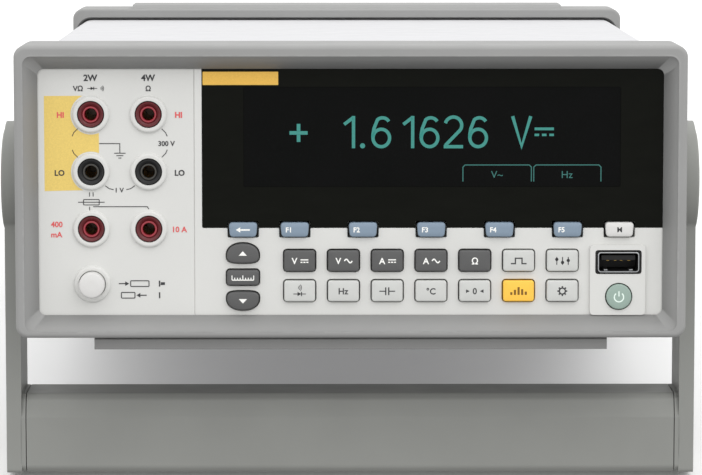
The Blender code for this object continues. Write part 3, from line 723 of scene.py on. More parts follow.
def display_finish():
    """The tube's glass face with the fine control grid showing through."""
    nodes = Nodes("display_face")
    grid = nodes.cells(0.55, "DISTANCE_TO_EDGE")
    wires = nodes.ramp(grid, 0.02, 0.08, 1.0, 0.0)
    haze = nodes.ramp(nodes.noise(18.0, 3.0), 0.3, 0.7)
    glass = nodes.mix(haze, colour(5, 6, 5), colour(8, 8, 8))
    shade = nodes.mix(nodes.maths("MULTIPLY", wires, 0.35), glass, colour(20, 22, 22))
    rough = nodes.ramp(haze, 0.0, 1.0, 0.12, 0.2)
    nodes.bump(haze, 0.03, 0.02)
    return nodes.set(Base_Color=shade, Roughness=rough, Specular_IOR_Level=0.06)


def board_finish():
    """Coated circuit board: copper runs under green lacquer, and pads."""
    nodes = Nodes("circuit_board")
    weave = nodes.noise(0.8, 2.0)
    runs = nodes.ramp(nodes.cells(5.0, "DISTANCE_TO_EDGE"), 0.03, 0.06, 1.0, 0.0)
    pads = nodes.ramp(nodes.cells(4.2), 0.1, 0.13, 1.0, 0.0)
    green = nodes.mix(nodes.ramp(weave, 0.3, 0.7), colour(20, 74, 48), colour(28, 92, 60))
    shade = nodes.mix(nodes.maths("MULTIPLY", runs, 0.7), green, colour(58, 128, 78))
    shade = nodes.mix(pads, shade, colour(196, 182, 130))
    rough = nodes.ramp(pads, 0.0, 1.0, 0.42, 0.3)
    nodes.bump(nodes.maths("ADD", runs, pads), 0.25, 0.04)
    return nodes.set(Base_Color=shade, Roughness=rough, Metallic=nodes.maths("MULTIPLY", pads, 0.8))


def winding_finish():
    """Varnished copper turns over a laminated core."""
    nodes = Nodes("winding")
    turns = nodes.noise(0.5, 2.0, 0.5, nodes.stretched((0.08, 1.0, 1.0)))
    varnish = nodes.ramp(nodes.noise(7.0, 4.0), 0.3, 0.7)
    shade = nodes.mix(varnish, colour(150, 88, 50), colour(104, 58, 34))
    nodes.bump(turns, 0.4, 0.1)
    rough = nodes.ramp(turns, 0.2, 0.8, 0.28, 0.5)
    return nodes.set(Base_Color=shade, Roughness=rough, Metallic=0.5)


# After the name and the colour, stippled takes roughness, pit size, depth, mottle, wear and
# specular; moulded takes roughness, mottle, grain, grain size, wear and specular.
FINISH = {
    "boot": stippled("boot_rubber_grain", (148, 148, 147), 0.62, 0.45, 0.05, 0.035, 0.35, 0.35),
    "panel": moulded("panel_satin", (211, 211, 208), 0.48, 0.02, 0.16, 0.3, 0.0, 0.35),
    "cover": moulded("cover_powder_coat", (197, 197, 199), 0.42, 0.02, 0.3, 0.55, 0.35, 0.4),
    "handle": stippled("handle_grain", (140, 141, 137), 0.56, 0.38, 0.04, 0.04, 0.4, 0.4),
    "window": window_finish(),
    "display": display_finish(),
    "soft_key": moulded("soft_key_blue", (126, 143, 160), 0.42, 0.03, 0.12, 0.25, 0.3, 0.45),
    "dark_key": moulded("dark_key_grey", (84, 84, 84), 0.42, 0.04, 0.12, 0.25, 0.3, 0.45),
    "light_key": moulded("light_key_grey", (199, 200, 197), 0.42, 0.02, 0.12, 0.25, 0.15, 0.4),
    "yellow_key": moulded("yellow_key_amber", (250, 196, 74), 0.42, 0.03, 0.12, 0.25, 0.2, 0.4),
    "white_key": moulded("white_key_satin", (212, 211, 209), 0.4, 0.02, 0.1, 0.25, 0.1, 0.4),
    "power_key": moulded("power_key_green", (148, 168, 158), 0.4, 0.03, 0.1, 0.25, 0.1, 0.45),
    "red": moulded("red_insulator_gloss", (92, 18, 24), 0.3, 0.06, 0.06, 0.4, 0.1, 0.5),
    "red_rim": moulded("red_sleeve_rim", (150, 48, 58), 0.35, 0.05, 0.06, 0.3, 0.1, 0.5),
    "black": moulded("black_insulator_satin", (26, 26, 27), 0.42, 0.08, 0.12, 0.3, 0.25, 0.4),
    "black_rim": moulded("black_sleeve_rim", (58, 56, 52), 0.4, 0.06, 0.08, 0.3, 0.1, 0.45),
    "steel": brushed("plated_steel", (182, 184, 186)),
    "brass": brushed("gold_contact", (214, 176, 96), 0.25),
    "screw": brushed("screw_zinc", (150, 152, 156), 0.32, (1.0, 1.0, 1.0)),
    "socket_black": moulded("socket_black", (20, 20, 21), 0.5, 0.08, 0.1, 0.3, 0.1, 0.35),
    "mat": moulded("keypad_silicone", (196, 196, 190), 0.7, 0.03, 0.2, 0.6, 0.0, 0.3),
    "board": board_finish(),
    "winding": winding_finish(),
    "ink_dark": ink("ink_dark", (58, 58, 60)),
    "ink_white": ink("ink_white", (240, 240, 236)),
    "ink_red": ink("ink_red", (214, 92, 92)),
    "ink_yellow": ink("label_yellow", (222, 194, 108)),
    "ink_amber": ink("strip_amber", (226, 180, 82)),
    "ink_brown": ink("ink_brown", (122, 88, 30)),
    "ink_pale": ink("ink_pale", (222, 236, 228)),
    "glow": glowing("phosphor_lit", (44, 136, 126)),
    "glow_dim": glowing("phosphor_dim", (36, 104, 98)),
}

# ---------------------------------------------------------------- boots and cover


def frame_ring(side, bottom, top, radius, depth):
    """One closed ring round the case: a rounded rectangle at a depth."""
    return [(x, depth, z) for x, z in rounded(-side, side, bottom, top, radius, 8)]


def boot_ring(inward, depth):
    """The outside of a boot at a depth, moved inward."""
    return frame_ring(BOOT_HALF_WIDTH - inward, inward, BOOT_TOP - inward, BOOT_RADIUS - inward, depth)


def pocket_ring(grow, depth):
    """The inside of a boot at a depth, round the cover."""
    return frame_ring(COVER_HALF_WIDTH + GAP + grow, COVER_BOTTOM - GAP - grow, COVER_TOP + GAP + grow,
                      COVER_RADIUS + grow, depth)


def foot_shape(front_depth, back_depth, level=None):
    """A foot under a boot: a bar across it, cut level where it meets the table."""
    root = 3.0
    groove_height, groove_depth = 1.2, 1.5
    sole = [(front_depth, FOOT_BOTTOM), (back_depth, FOOT_BOTTOM)]
    if level:
        start, end_height = level
        sole = [(front_depth, FOOT_BOTTOM), (start, FOOT_BOTTOM), (back_depth, end_height)]
    inner = front_depth + groove_depth
    groove = [(inner, root), (inner, -groove_height), (front_depth, -groove_height)]
    outline = filleted(sole + [(back_depth, root)] + groove, 0.9, 3)
    return across_case(outline, -FOOT_HALF_WIDTH, FOOT_HALF_WIDTH, 1.0)


ORIGIN_HEIGHT = (CASE.translation / MM).z
RISE_BY_DEPTH = (CASE.to_3x3() @ Vector((0.0, 1.0, 0.0))).z
RISE_BY_HEIGHT = (CASE.to_3x3() @ Vector((0.0, 0.0, 1.0))).z


def table_height(depth):
    """The table's height in the case's frame at a depth."""
    return -(ORIGIN_HEIGHT + depth * RISE_BY_DEPTH) / RISE_BY_HEIGHT


def table_depth(height):
    """The depth at which the table passes a height in the case's frame."""
    return -(ORIGIN_HEIGHT + height * RISE_BY_HEIGHT) / RISE_BY_DEPTH


def make_front_boot():
    lip = 0.5
    rim_side, rim_top, rim_bottom, rim_radius = 3.0, 3.6, 2.2, 3.2
    slope_end = PANEL_FRONT - GAP
    rings = [boot_ring(inward, FRONT_BOOT_END - drop) for inward, drop in reversed(rounding(2.0))]
    rings += [boot_ring(inward, drop) for inward, drop in rounding(1.5)]
    for inward, drop in reversed(rounding(lip, 3)):
        rings.append(frame_ring(
            BOOT_HALF_WIDTH - rim_side + lip - inward, rim_bottom - lip + inward,
            BOOT_TOP - rim_top + lip - inward, rim_radius - inward, drop,
        ))
    for depth in (slope_end - 0.4, slope_end):
        rings.append(frame_ring(OPENING_HALF_WIDTH, 7.0, OPENING_TOP, 2.2, depth))
    rings += [pocket_ring(0.0, slope_end), pocket_ring(0.0, FRONT_BOOT_END)]
    add("boot_front", [loft(rings, True)], "boot", replaces=("front_boot",), joins=[foot_shape(8.0, 24.0)])


def make_rear_boot():
    flare, flare_depth, chamfer = 0.9, 2.5, 0.8
    opening_bottom, opening_radius = 8.0, 2.5
    stop = COVER_END + 2 * GAP
    rings = [boot_ring(inward, CASE_END - drop) for inward, drop in reversed(rounding(1.2))]
    rings += [boot_ring(inward, REAR_BOOT_START + drop) for inward, drop in rounding(0.9)]
    rings += [pocket_ring(flare, REAR_BOOT_START), pocket_ring(0.0, REAR_BOOT_START + flare_depth)]
    rings.append(pocket_ring(0.0, stop))
    for grow, depth in ((0.0, stop), (0.0, CASE_END - chamfer), (chamfer, CASE_END)):
        rings.append(frame_ring(OPENING_HALF_WIDTH + grow, opening_bottom - grow, OPENING_TOP + grow,
                                opening_radius + grow, depth))
    end = CASE_END - 0.2
    root = BOOT_TOP - 1.6
    pad = filleted([
        (CASE_END - 1.0, PAD_TOP), (REAR_BOOT_START + 3.5, PAD_TOP), (REAR_BOOT_START + 0.6, root),
        (end, root), (end, PAD_TOP - 1.0),
    ], 0.6, 3)
    foot = foot_shape(284.0, end, (table_depth(FOOT_BOTTOM), table_height(end)))
    add("boot_rear", [loft(rings, True)], "boot", replaces=("rear_boot",),
        joins=[across_case(pad, -PAD_HALF_WIDTH, PAD_HALF_WIDTH, 0.8), foot])


def make_cover():
    soft = 0.3
    rings = []
    for inward, ends in (
        (0.0, (COVER_START + soft, COVER_END - soft)), (soft, (COVER_END,)),
        (COVER_WALL, (COVER_END, COVER_START)), (soft, (COVER_START,)),
    ):
        for depth in ends:
            rings.append(frame_ring(COVER_HALF_WIDTH - inward, COVER_BOTTOM + inward, COVER_TOP - inward,
                                    COVER_RADIUS - inward, depth))
    reach = COVER_HALF_WIDTH + 2
    openings = [rounded(start, start + 2.6, 30.0, 66.0, 1.25, 5) for start in range(222, 270, 6)]
    openings.append(circle(9.3, 48, *PIVOT))
    cuts = [across_case(outline, -reach, reach) for outline in openings]
    cuts.append(put(slab([rounded(-88.0, -52.0, -108.0, -62.0, 2.0, 4)], -2.0, 2.0), below(COVER_BOTTOM)))
    add("cover_sleeve", [loft(rings, True)], "cover", replaces=("case_cover",), cuts=cuts)


def make_fuse_door():
    low, high = case_box("fuse_access_door")
    plate = rounded(low.x, high.x, -high.y, -low.y, 3.0, 6)
    screws = [(low.x + 5.0, low.y + 5.0), (high.x - 5.0, high.y - 5.0)]
    holes = [circle(1.9, 24, x, -y) for x, y in screws]
    door = put(slab([plate] + holes, -(high.z - low.z), 0.0, 0.35), below(low.z))
    add("fuse_door", [door], "cover", replaces=("fuse_access_door",))
    heads = [put(screw_head(1.8), below(low.z + 0.35), x, y) for x, y in screws]
    add("fuse_door_screws", heads, "screw")


def screw_head(radius):
    """A pan head with a cross recess, its face at height 0."""
    head = lathe([
        (0.0, -1.0), (radius, -1.0), (radius, -0.45), (0.92 * radius, -0.2), (0.75 * radius, -0.05),
        (0.0, 0.0),
    ], 32)
    mesh = gather([head])
    arm, width = 0.62 * radius, 0.2 * radius
    for across, up in ((arm, width), (width, arm)):
        mesh = combine(mesh, [box(-across, across, -up, up, -0.4, 0.7)], "DIFFERENCE")
    shape = taken(mesh)
    shape.transform(Matrix.Scale(1.0 / MM, 4))
    return shape


# ---------------------------------------------------------------- key outlines


def block_key(width, height, radius):
    """Outlines of a rounded rectangular key, for any inset."""
    def at(depth):
        return rounded_about(width - 2 * depth, height - 2 * depth, max(radius - depth, 0.15), 5)
    return at


def soft_key(width, height):
    """Outlines of a key that narrows a little towards its lower side."""
    def at(depth):
        half, up = width / 2 - depth, height / 2 - depth
        low_half = half - 0.45
        corners = [(half, up), (-half, up), (-low_half, -up), (low_half, -up)]
        return filleted(corners, max(1.3 - depth, 0.25), 5)
    return at


def arched_key(width, height, way):
    """Outlines of a key with one arched side: the upper one (way 1) or the lower one (way -1)."""
    rise = 0.6 * height
    fall = height - rise

    def at(depth):
        points = []
        count = 56
        for step in range(count):
            angle = 2.0 * math.pi * step / count
            across, up = math.cos(angle), math.sin(angle)
            arched = up * way > 0
            power = 2.0 / (2.15 if arched else 3.4)
            reach = (rise if arched else fall) - depth
            x = math.copysign(abs(across) ** power, across) * (width / 2 - depth)
            z = math.copysign(abs(up) ** power, up) * reach
            points.append((x, z + way * (fall - rise) / 2))
        return points
    return at


def round_key(radius):
    def at(depth):
        return circle(radius - depth, 64)
    return at


SOFT_KEYS = ("key_back", "key_f1", "key_f2", "key_f3", "key_f4", "key_f5", "key_memory")
DARK_KEYS = ("key_range_up", "key_range", "key_range_down", "key_dcv", "key_acv", "key_dci", "key_aci",
             "key_ohms")
LIGHT_KEYS = ("key_trig", "key_instr_setup", "key_diode", "key_freq", "key_cap", "key_temp", "key_zero",
              "key_meas_setup")
PANEL_KEYS = DARK_KEYS + LIGHT_KEYS + ("key_analyze",)


def key_shape(node):
    """The outline function of a key, from the size of its CAD node."""
    low, high = case_box(node)
    width, height = high.x - low.x, high.z - low.z
    if node.startswith("key_range"):
        height -= 0.5
    if node in SOFT_KEYS:
        return soft_key(width, height)
    if node == "key_range_up":
        return arched_key(width, height, 1)
    if node == "key_range_down":
        return arched_key(width, height, -1)
    return block_key(width, height, 0.95)


def key_finish(node):
    if node == "key_memory":
        return "white_key"
    if node == "key_analyze":
        return "yellow_key"
    if node in SOFT_KEYS:
        return "soft_key"
    return "dark_key" if node in DARK_KEYS else "light_key"


# ---------------------------------------------------------------- printed symbols


SIGN_WIDTH = 2.6


def direct_bars(across):
    """The direct current sign: a line over three dashes."""
    width = SIGN_WIDTH
    dash = width * 0.26
    shapes = [stroke([(across, 0.4), (across + width, 0.4)], 0.38)]
    for index in range(3):
        start = across + index * (width - dash) / 2
        shapes.append(stroke([(start, -0.42), (start + dash, -0.42)], 0.38))
    return shapes


def wave(across):
    """The alternating current sign: one period of a sine."""
    height = 0.6
    shares = [step / 16 for step in range(17)]
    path = [(across + SIGN_WIDTH * t, height * math.sin(2 * math.pi * t)) for t in shares]
    return [stroke(path, 0.42)]


def letters(body, size=2.6, across=0.0, up=0.0, bold=0.06):
    return [shift(text(body, size, bold), across, up)]


def lettering(rows):
    """Several (body, size, across, up, bold) in one list."""
    return [shape for row in rows for shape in letters(*row)]


def triangle(points):
    return [slab([points], 0.0, PRINT)]


def disc(radius, across=0.0, up=0.0):
    return slab([circle(radius, 20, across, up)], 0.0, PRINT)


def diode(across, up, size=1.0):
    """A diode sign: a filled triangle against a bar, on a line."""
    half = 0.75 * size
    return (
        triangle([(across - half, up - half), (across + half * 0.7, up), (across - half, up + half)])
        + [stroke([(across + half * 0.85, up - half), (across + half * 0.85, up + half)], 0.34 * size)]
        + [stroke([(across - 2.2 * size, up), (across + 2.2 * size, up)], 0.28 * size)]
    )


def sound(across, up, size=1.0):
    """Three arcs, as a buzzer's sign."""
    return [
        stroke(arc(across, up, radius * size, -42, 42, 6), 0.26 * size)
        for radius in (0.7, 1.3, 1.9)
    ]


def sliders():
    """Three set-up sliders."""
    shapes = []
    for index, knob in enumerate((0.5, -0.5, 0.15)):
        x = (index - 1) * 1.9
        shapes.append(stroke([(x, -1.3), (x, 1.3)], 0.3))
        shapes.append(disc(0.55, x, knob))
    return shapes


def gear():
    """A ring with eight teeth."""
    shapes = [stroke(circle(1.0, 32), 0.45, closed=True)]
    for index in range(8):
        angle = math.radians(45.0 * index)
        shapes.append(stroke([(r * math.cos(angle), r * math.sin(angle)) for r in (1.1, 1.65)], 0.5))
    return shapes


def left_arrow():
    return triangle([(-0.9, -0.85), (-0.9, 0.85), (-2.4, 0.0)]) + [stroke([(-1.0, 0.0), (2.3, 0.0)], 0.5)]


def ruler():
    """A scale with ticks."""
    shapes = [stroke([(-3.6, -0.75), (3.6, -0.75)], 0.36)]
    for index in range(9):
        x = -3.6 + 0.9 * index
        reach = 0.8 if index % 4 == 0 else 0.05
        shapes.append(stroke([(x, -0.75), (x, reach)], 0.3))
    return shapes


def bars():
    """A small bar chart."""
    shapes = []
    for index, height in enumerate((0.9, 1.7, 2.6, 1.9, 1.1)):
        x = -2.4 + 1.2 * index
        bar = rounded(x - 0.36, x + 0.36, -1.25, -1.25 + height, 0.05, 1)
        shapes.append(slab([bar], 0.0, PRINT))
    return shapes


def terminals_sign(across, up, half, way):
    """A case seen from the side, with an arrow into its front (way 1) or into its back (way -1)."""
    tip = across - way * (half - 3.4)
    tail = across - way * half
    inner, outer = sorted((tip + way * 0.5, across + way * half))
    head = [(tip - way * 1.3, up + 0.75), (tip - way * 1.3, up - 0.75), (tip, up)]
    return [
        stroke(rounded(inner, outer, up - 0.95, up + 0.95, 0.25, 2), 0.3, closed=True),
        slab([head[::way]], 0.0, PRINT),
        stroke([(tail, up), (tip - way * 1.1, up)], 0.32),
    ]


def key_legend(node):
    """The sign on a key's face, drawn about the key's centre."""
    name = node[len("key_"):]
    if name[0] == "f" and name[1:].isdigit():
        return letters(name.upper(), 2.3, -2.1)
    signs = {
        "dcv": lambda: letters("V", 2.9, -1.7) + direct_bars(0.3),
        "acv": lambda: letters("V", 2.9, -1.7) + wave(0.3),
        "dci": lambda: letters("A", 2.9, -1.7) + direct_bars(0.3),
        "aci": lambda: letters("A", 2.9, -1.7) + wave(0.3),
        "ohms": lambda: letters("\u03a9", 3.0),
        "trig": lambda: [stroke([(-2.6, -0.9), (-1.1, -0.9), (-1.1, 0.9), (1.1, 0.9), (1.1, -0.9),
                                 (2.6, -0.9)], 0.42)],
        "instr_setup": sliders,
        "diode": lambda: diode(0.0, -0.9, 0.95) + sound(-0.9, 1.2, 0.8),
        "freq": lambda: letters("Hz", 2.9),
        "cap": lambda: [
            stroke([(-2.6, 0.0), (-0.5, 0.0)], 0.34), stroke([(0.5, 0.0), (2.6, 0.0)], 0.34),
            stroke([(-0.5, -1.3), (-0.5, 1.3)], 0.42), stroke([(0.5, -1.3), (0.5, 1.3)], 0.42),
        ],
        "temp": lambda: letters("\u00b0C", 2.9),
        "zero": lambda: letters("0", 2.9) + triangle([(-2.9, -0.6), (-1.7, 0.0), (-2.9, 0.6)])
        + triangle([(2.9, 0.6), (1.7, 0.0), (2.9, -0.6)]),
        "analyze": bars,
        "meas_setup": gear,
        "back": left_arrow,
        "memory": lambda: letters("M", 2.3),
        "range": ruler,
        "range_up": lambda: triangle([(-1.35, -0.7), (1.35, -0.7), (0.0, 0.8)]),
        "range_down": lambda: triangle([(-1.35, 0.7), (0.0, -0.8), (1.35, 0.7)]),
    }
    return signs[name]()


def legend_ink(node):
    if node == "key_analyze":
        return "ink_brown"
    if node == "key_memory" or node in LIGHT_KEYS:
        return "ink_dark"
    return "ink_white"


def make_keys():
    for node in SOFT_KEYS + PANEL_KEYS:
        low, high = case_box(node)
        body = node + "_body"
        reach = 0.5 * (high.z - low.z) - 0.7
        cap = dome(key_shape(node), low.y - high.y, 0.0, 0.55, 0.16, reach)
        add(f"{node}_cap", at_face(node, [cap]), key_finish(node), body, replaces=(node,))
        add(f"{node}_sign", at_face(node, key_legend(node), 0.02), legend_ink(node), body)


# ---------------------------------------------------------------- front panel


def window_notches(bottom, edge, margin):
    """The lower side of the window's outline, stepped at each soft key to the height edge."""
    points = []
    for node in sorted(SOFT_KEYS, key=lambda name: case_centre(name).x):
        low, high = case_box(node)
        left, right = low.x - margin, high.x + margin
        points += [(left, bottom), (left, edge), (right, edge), (right, bottom)]
    return points


def window_outline(grow, edge, margin):
    left, right, bottom, top = WINDOW
    points = [(right + grow, top + grow), (left - grow, top + grow), (left - grow, bottom - grow)]
    points += window_notches(bottom - grow, edge, margin)
    points.append((right + grow, bottom - grow))
    return filleted(points, 0.5, 3)


JACKS = ("jack_input_hi", "jack_input_lo", "jack_current_low", "jack_sense_hi", "jack_sense_lo",
         "jack_current_high")
PANEL_GROOVE = -51.9


def plate_holes(seats):
    """The holes in the front panel: window, keys, collars, the USB plate and a groove."""
    margin = 0.35
    holes = [window_outline(0.15, case_box("key_f1")[0].z - margin, margin)]
    for node in PANEL_KEYS:
        middle = case_centre(node)
        holes.append(moved(key_shape(node)(-margin), middle.x, middle.z))
    holes += [circle(COLLAR_RADIUS - 0.6, 40, seat.x, seat.z) for seat in seats]
    left, right, bottom, top = USB_PLATE
    holes.append(rounded(left + 1, right - 1, bottom + 1, top - 1, 0.8, 3))
    left, right = PANEL_GROOVE - 0.1, PANEL_GROOVE + 0.1
    return holes + [[(left, 6.0), (right, 6.0), (right, 91.0), (left, 91.0)]]


def make_panel():
    side = COVER_HALF_WIDTH - GAP
    seats = [case_centre(node) for node in JACKS + ("input_select_button",)]
    outer = rounded(-side, side, COVER_BOTTOM + GAP, COVER_TOP - GAP, COVER_RADIUS, 6)
    plate = put(soft_plate(outer, plate_holes(seats), PANEL_FRONT - PANEL_BACK, 0.0, 0.22),
                front(PANEL_FRONT))
    floor = box(PANEL_GROOVE - 0.5, PANEL_GROOVE + 0.5, PANEL_FRONT + 0.35, PANEL_BACK - 0.2, 5.8, 91.2)
    add("panel_plate", [plate, floor], "panel", replaces=("front_panel",))
    skirt = []
    wall = 2.4
    for inward, depth in ((0.25, 9.4), (0.25, 20.0), (wall, 20.0), (wall, 9.4)):
        skirt.append(frame_ring(side - inward, COVER_BOTTOM + GAP + inward, COVER_TOP - GAP - inward,
                                COVER_RADIUS - min(inward, 3.0), depth))
    add("panel_skirt", [loft(skirt, True)], "panel")
    make_collars(seats)
    usb, power = case_centre("usb_port"), case_centre("power_button")
    left, right, bottom, top = USB_PLATE
    raised = slab([
        rounded(left, right, bottom - 0.4, top, 1.2, 6),
        moved(rounded_about(15.4, 8.0, 0.9, 5), usb.x, usb.z),
        circle(4.55, 64, power.x, power.z),
    ], -1.4, 0.0, 0.4, 3)
    add("panel_usb_plate", [put(raised, front(USB_PLATE_FRONT))], "panel")


def make_collars(seats):
    """Raised rings round the terminals and the input select button."""
    rise, edge = 1.2, 0.9
    inner = JACK_RADIUS + 0.28
    ring = [(inner, -2.4), (inner, rise - 0.25), (inner + 0.08, rise - 0.08), (inner + 0.25, rise)]
    for angle in (math.radians(degrees) for degrees in range(0, 91, 15)):
        ring.append((COLLAR_RADIUS - edge + edge * math.sin(angle), rise - edge + edge * math.cos(angle)))
    ring += [(COLLAR_RADIUS, 0.12), (COLLAR_RADIUS + 0.18, -0.02), (COLLAR_RADIUS, -2.4)]
    collars = [put(lathe(ring, 64, True), front(PANEL_FRONT), seat.x, 0.0, seat.z) for seat in seats]
    add("panel_collars", collars, "panel")


def make_window():
    margin = 0.4
    keys_top = case_box("key_f1")[1].z
    outline = window_outline(0.0, keys_top + margin, margin)
    glass = put(slab([outline], -1.5, 0.0, 0.15, 2), front(PANEL_FRONT))
    field = (-35.6, 89.5, 49.7, 83.0)
    recess = put(slab([rounded(*field, 0.6, 4)], -0.35, 0.5), front(PANEL_FRONT))
    add("window_pane", [glass], "window", replaces=("display_window",), cuts=[recess])
    left, right, bottom, top = field
    face = slab([rounded(left + 0.1, right - 0.1, bottom + 0.1, top - 0.1, 0.5, 4)], -0.4, 0.0, 0.05, 1)
    add("display_face", [put(face, front(PANEL_FRONT + 0.3))], "display")
    strip = slab([rounded(-49.0, -24.0, 83.6, 88.0, 0.15, 2)], 0.0, 0.06)
    add("window_strip", [put(strip, front(PANEL_FRONT))], "ink_amber")


def digit_paths(digit):
    """Strokes of a figure 6.4 mm wide and 10.7 mm high, standing on the origin."""
    if digit == "1":
        return [([(1.2, 0.0), (1.2, 10.7)], False), ([(-1.9, 7.9), (1.0, 10.1)], False)]
    if digit == "2":
        top = arc(0.0, 7.6, 2.75, 165, -35, 14)
        return [(top + [(-2.7, 0.9)], False), ([(-3.2, 0.5), (3.2, 0.5)], False)]
    bowl = [(0.1 + 2.75 * math.cos(a), 3.4 + 2.9 * math.sin(a))
            for a in (2 * math.pi * k / 28 for k in range(28))]
    hook = [(0.5 + 2.3 * math.cos(math.radians(a)), 8.0 + 2.1 * math.sin(math.radians(a)))
            for a in range(25, 150, 14)]
    return [(bowl, True), (hook + [(-2.3, 6.6), (-2.62, 4.8), (-2.7, 3.4)], False)]


def make_reading():
    """The figures on the display: a signed reading in volts, direct current."""
    base = 62.6
    weight = 1.1
    shapes = []
    for digit, across in (("1", -0.3), ("6", 10.0), ("1", 19.3), ("6", 26.0), ("2", 34.0), ("6", 42.1)):
        for path, closed in digit_paths(digit):
            shapes.append(shift(stroke(path, weight, closed=closed), across, base))
    shapes.append(disc(0.85, 3.9, base + 0.8))
    shapes.append(shift(stroke([(-3.0, 10.6), (0.0, 0.6), (3.0, 10.6)], weight), 56.6, base))
    shapes.append(stroke([(60.9, 69.0), (67.3, 69.0)], 0.9))
    for index in range(3):
        start = 60.9 + 2.45 * index
        shapes.append(stroke([(start, 67.0), (start + 1.5, 67.0)], 0.8))
    shapes.append(stroke([(-20.3, 67.7), (-14.3, 67.7)], 1.2))
    shapes.append(stroke([(-17.3, 64.7), (-17.3, 67.05)], 1.2))
    shapes.append(stroke([(-17.3, 68.35), (-17.3, 70.7)], 1.2))
    level = front(PANEL_FRONT + 0.28)
    add("display_reading", [put(shape, level) for shape in shapes], "glow")
    tabs = []
    for left, right in ((37.2, 59.9), (60.7, 83.0)):
        path = [(left, 51.5), (left, 56.3), (left + 0.7, 57.0), (right - 0.7, 57.0), (right, 56.3),
                (right, 51.5)]
        tabs.append(stroke(path, 0.32))
    tabs += lettering((("V~", 3.4, 48.5, 53.8, 0.0), ("Hz", 3.4, 71.8, 53.8, 0.0)))
    add("display_tabs", [put(shape, level) for shape in tabs], "glow_dim")


def make_terminal_label():
    """The coloured field behind the two input terminals, cut out round their collars."""
    high, low = case_centre("jack_input_hi"), case_centre("jack_input_lo")
    left, clear = -101.5, 6.7
    turn = math.degrees(math.acos(2.65 / clear))
    label = [(left, 48.4), *arc(low.x, low.z, clear, 180 + turn, turn, 24)]
    label += arc(high.x, high.z, clear, 360 - turn, 180 - turn, 24)
    label.append((left, 80.0))
    add("terminal_label", [put(slab([label], 0.0, 0.04), front(PANEL_FRONT))], "ink_yellow")


def make_terminal_marks():
    """Printed marks round the terminals: numbers, units and circuit signs."""
    line, pitch = 0.26, 19.05
    heading, units = 86.0, 82.5
    top_left, low_left, amps_left, top_right, low_right, amps_right = map(case_centre, JACKS)
    select = case_centre("input_select_button")
    dark = lettering((
        ("2W", 2.9, top_left.x, heading, 0.09), ("4W", 2.9, top_right.x, heading, 0.09),
        ("V\u03a9", 2.4, top_left.x - 4.2, units, 0.06), ("\u03a9", 2.4, top_right.x, units, 0.06),
        ("LO", 2.6, -96.5, low_left.z - 0.4, 0.08), ("LO", 2.6, -56.7, low_right.z - 0.4, 0.08),
        ("300 V", 2.3, -61.0, 64.2, 0.05), ("1 V", 2.2, -76.6, 48.7, 0.04),
    ))
    dark += diode(top_left.x + 0.6, units, 0.75) + sound(top_left.x + 3.0, units, 0.7)
    paths = []
    for centre, side in ((top_left, -1), (top_right, 1)):
        for way, base in ((-1, centre.z), (1, centre.z - pitch)):
            paths.append([(centre.x + side * across, base + way * up)
                          for across, up in ((4.4, 4.8), (5.7, 6.1), (6.2, 7.3))])
    for centre, side in ((low_left, 1), (low_right, -1)):
        paths.append([(centre.x + side * across, up)
                      for across, up in ((4.6, 50.2), (6.0, 49.2), (7.4, 48.9))])
    ground = -76.5
    paths.append([(-83.3, 64.2), (ground, 64.2), (ground, 61.0)])
    for half, height in ((1.9, 61.0), (1.15, 60.2), (0.5, 59.4)):
        paths.append([(ground - half, height), (ground + half, height)])
    amps, fuse = amps_left.x, 44.7
    paths.append([(amps - 4.4, fuse), (amps + 4.4, fuse)])
    for across in (-0.6, 0.6):
        paths.append([(amps + across, 48.0), (amps + across, 46.6)])
    paths.append([(amps - 0.6, 43.2), (amps - 0.6, 41.9)])
    paths.append([(amps + 0.6, 43.2), (amps_right.x - 0.5, 43.2), (amps_right.x, 42.4)])
    dark += [stroke(path, line) for path in paths]
    dark.append(stroke(rounded(amps - 2.6, amps + 2.6, fuse - 0.9, fuse + 0.9, 0.2, 2), line, closed=True))
    for way, height, half in ((1, select.z + 0.1, 5.0), (-1, select.z - 3.8, 4.2)):
        dark += terminals_sign(-72.1, height, half, way)
        dark.append(stroke([(-63.6, height - 1.0), (-63.6, height + 1.0)], 0.45))
    dark.append(stroke([(-63.2, select.z + 0.1), (-61.8, select.z + 0.1)], 0.9))
    red = lettering((
        ("HI", 2.6, -96.1, top_left.z - 0.2, 0.1), ("HI", 2.6, -57.0, top_right.z - 0.2, 0.1),
        ("400", 2.6, -97.6, amps_left.z + 1.5, 0.06), ("mA", 2.6, -97.6, amps_left.z - 1.9, 0.06),
        ("10 A", 2.6, -56.7, amps_right.z - 0.2, 0.06),
    ))
    over = front(PANEL_FRONT - 0.04)
    add("terminal_marks_dark", [put(shape, over) for shape in dark], "ink_dark")
    add("terminal_marks_red", [put(shape, over) for shape in red], "ink_red")


# ---------------------------------------------------------------- terminals, ports and round buttons


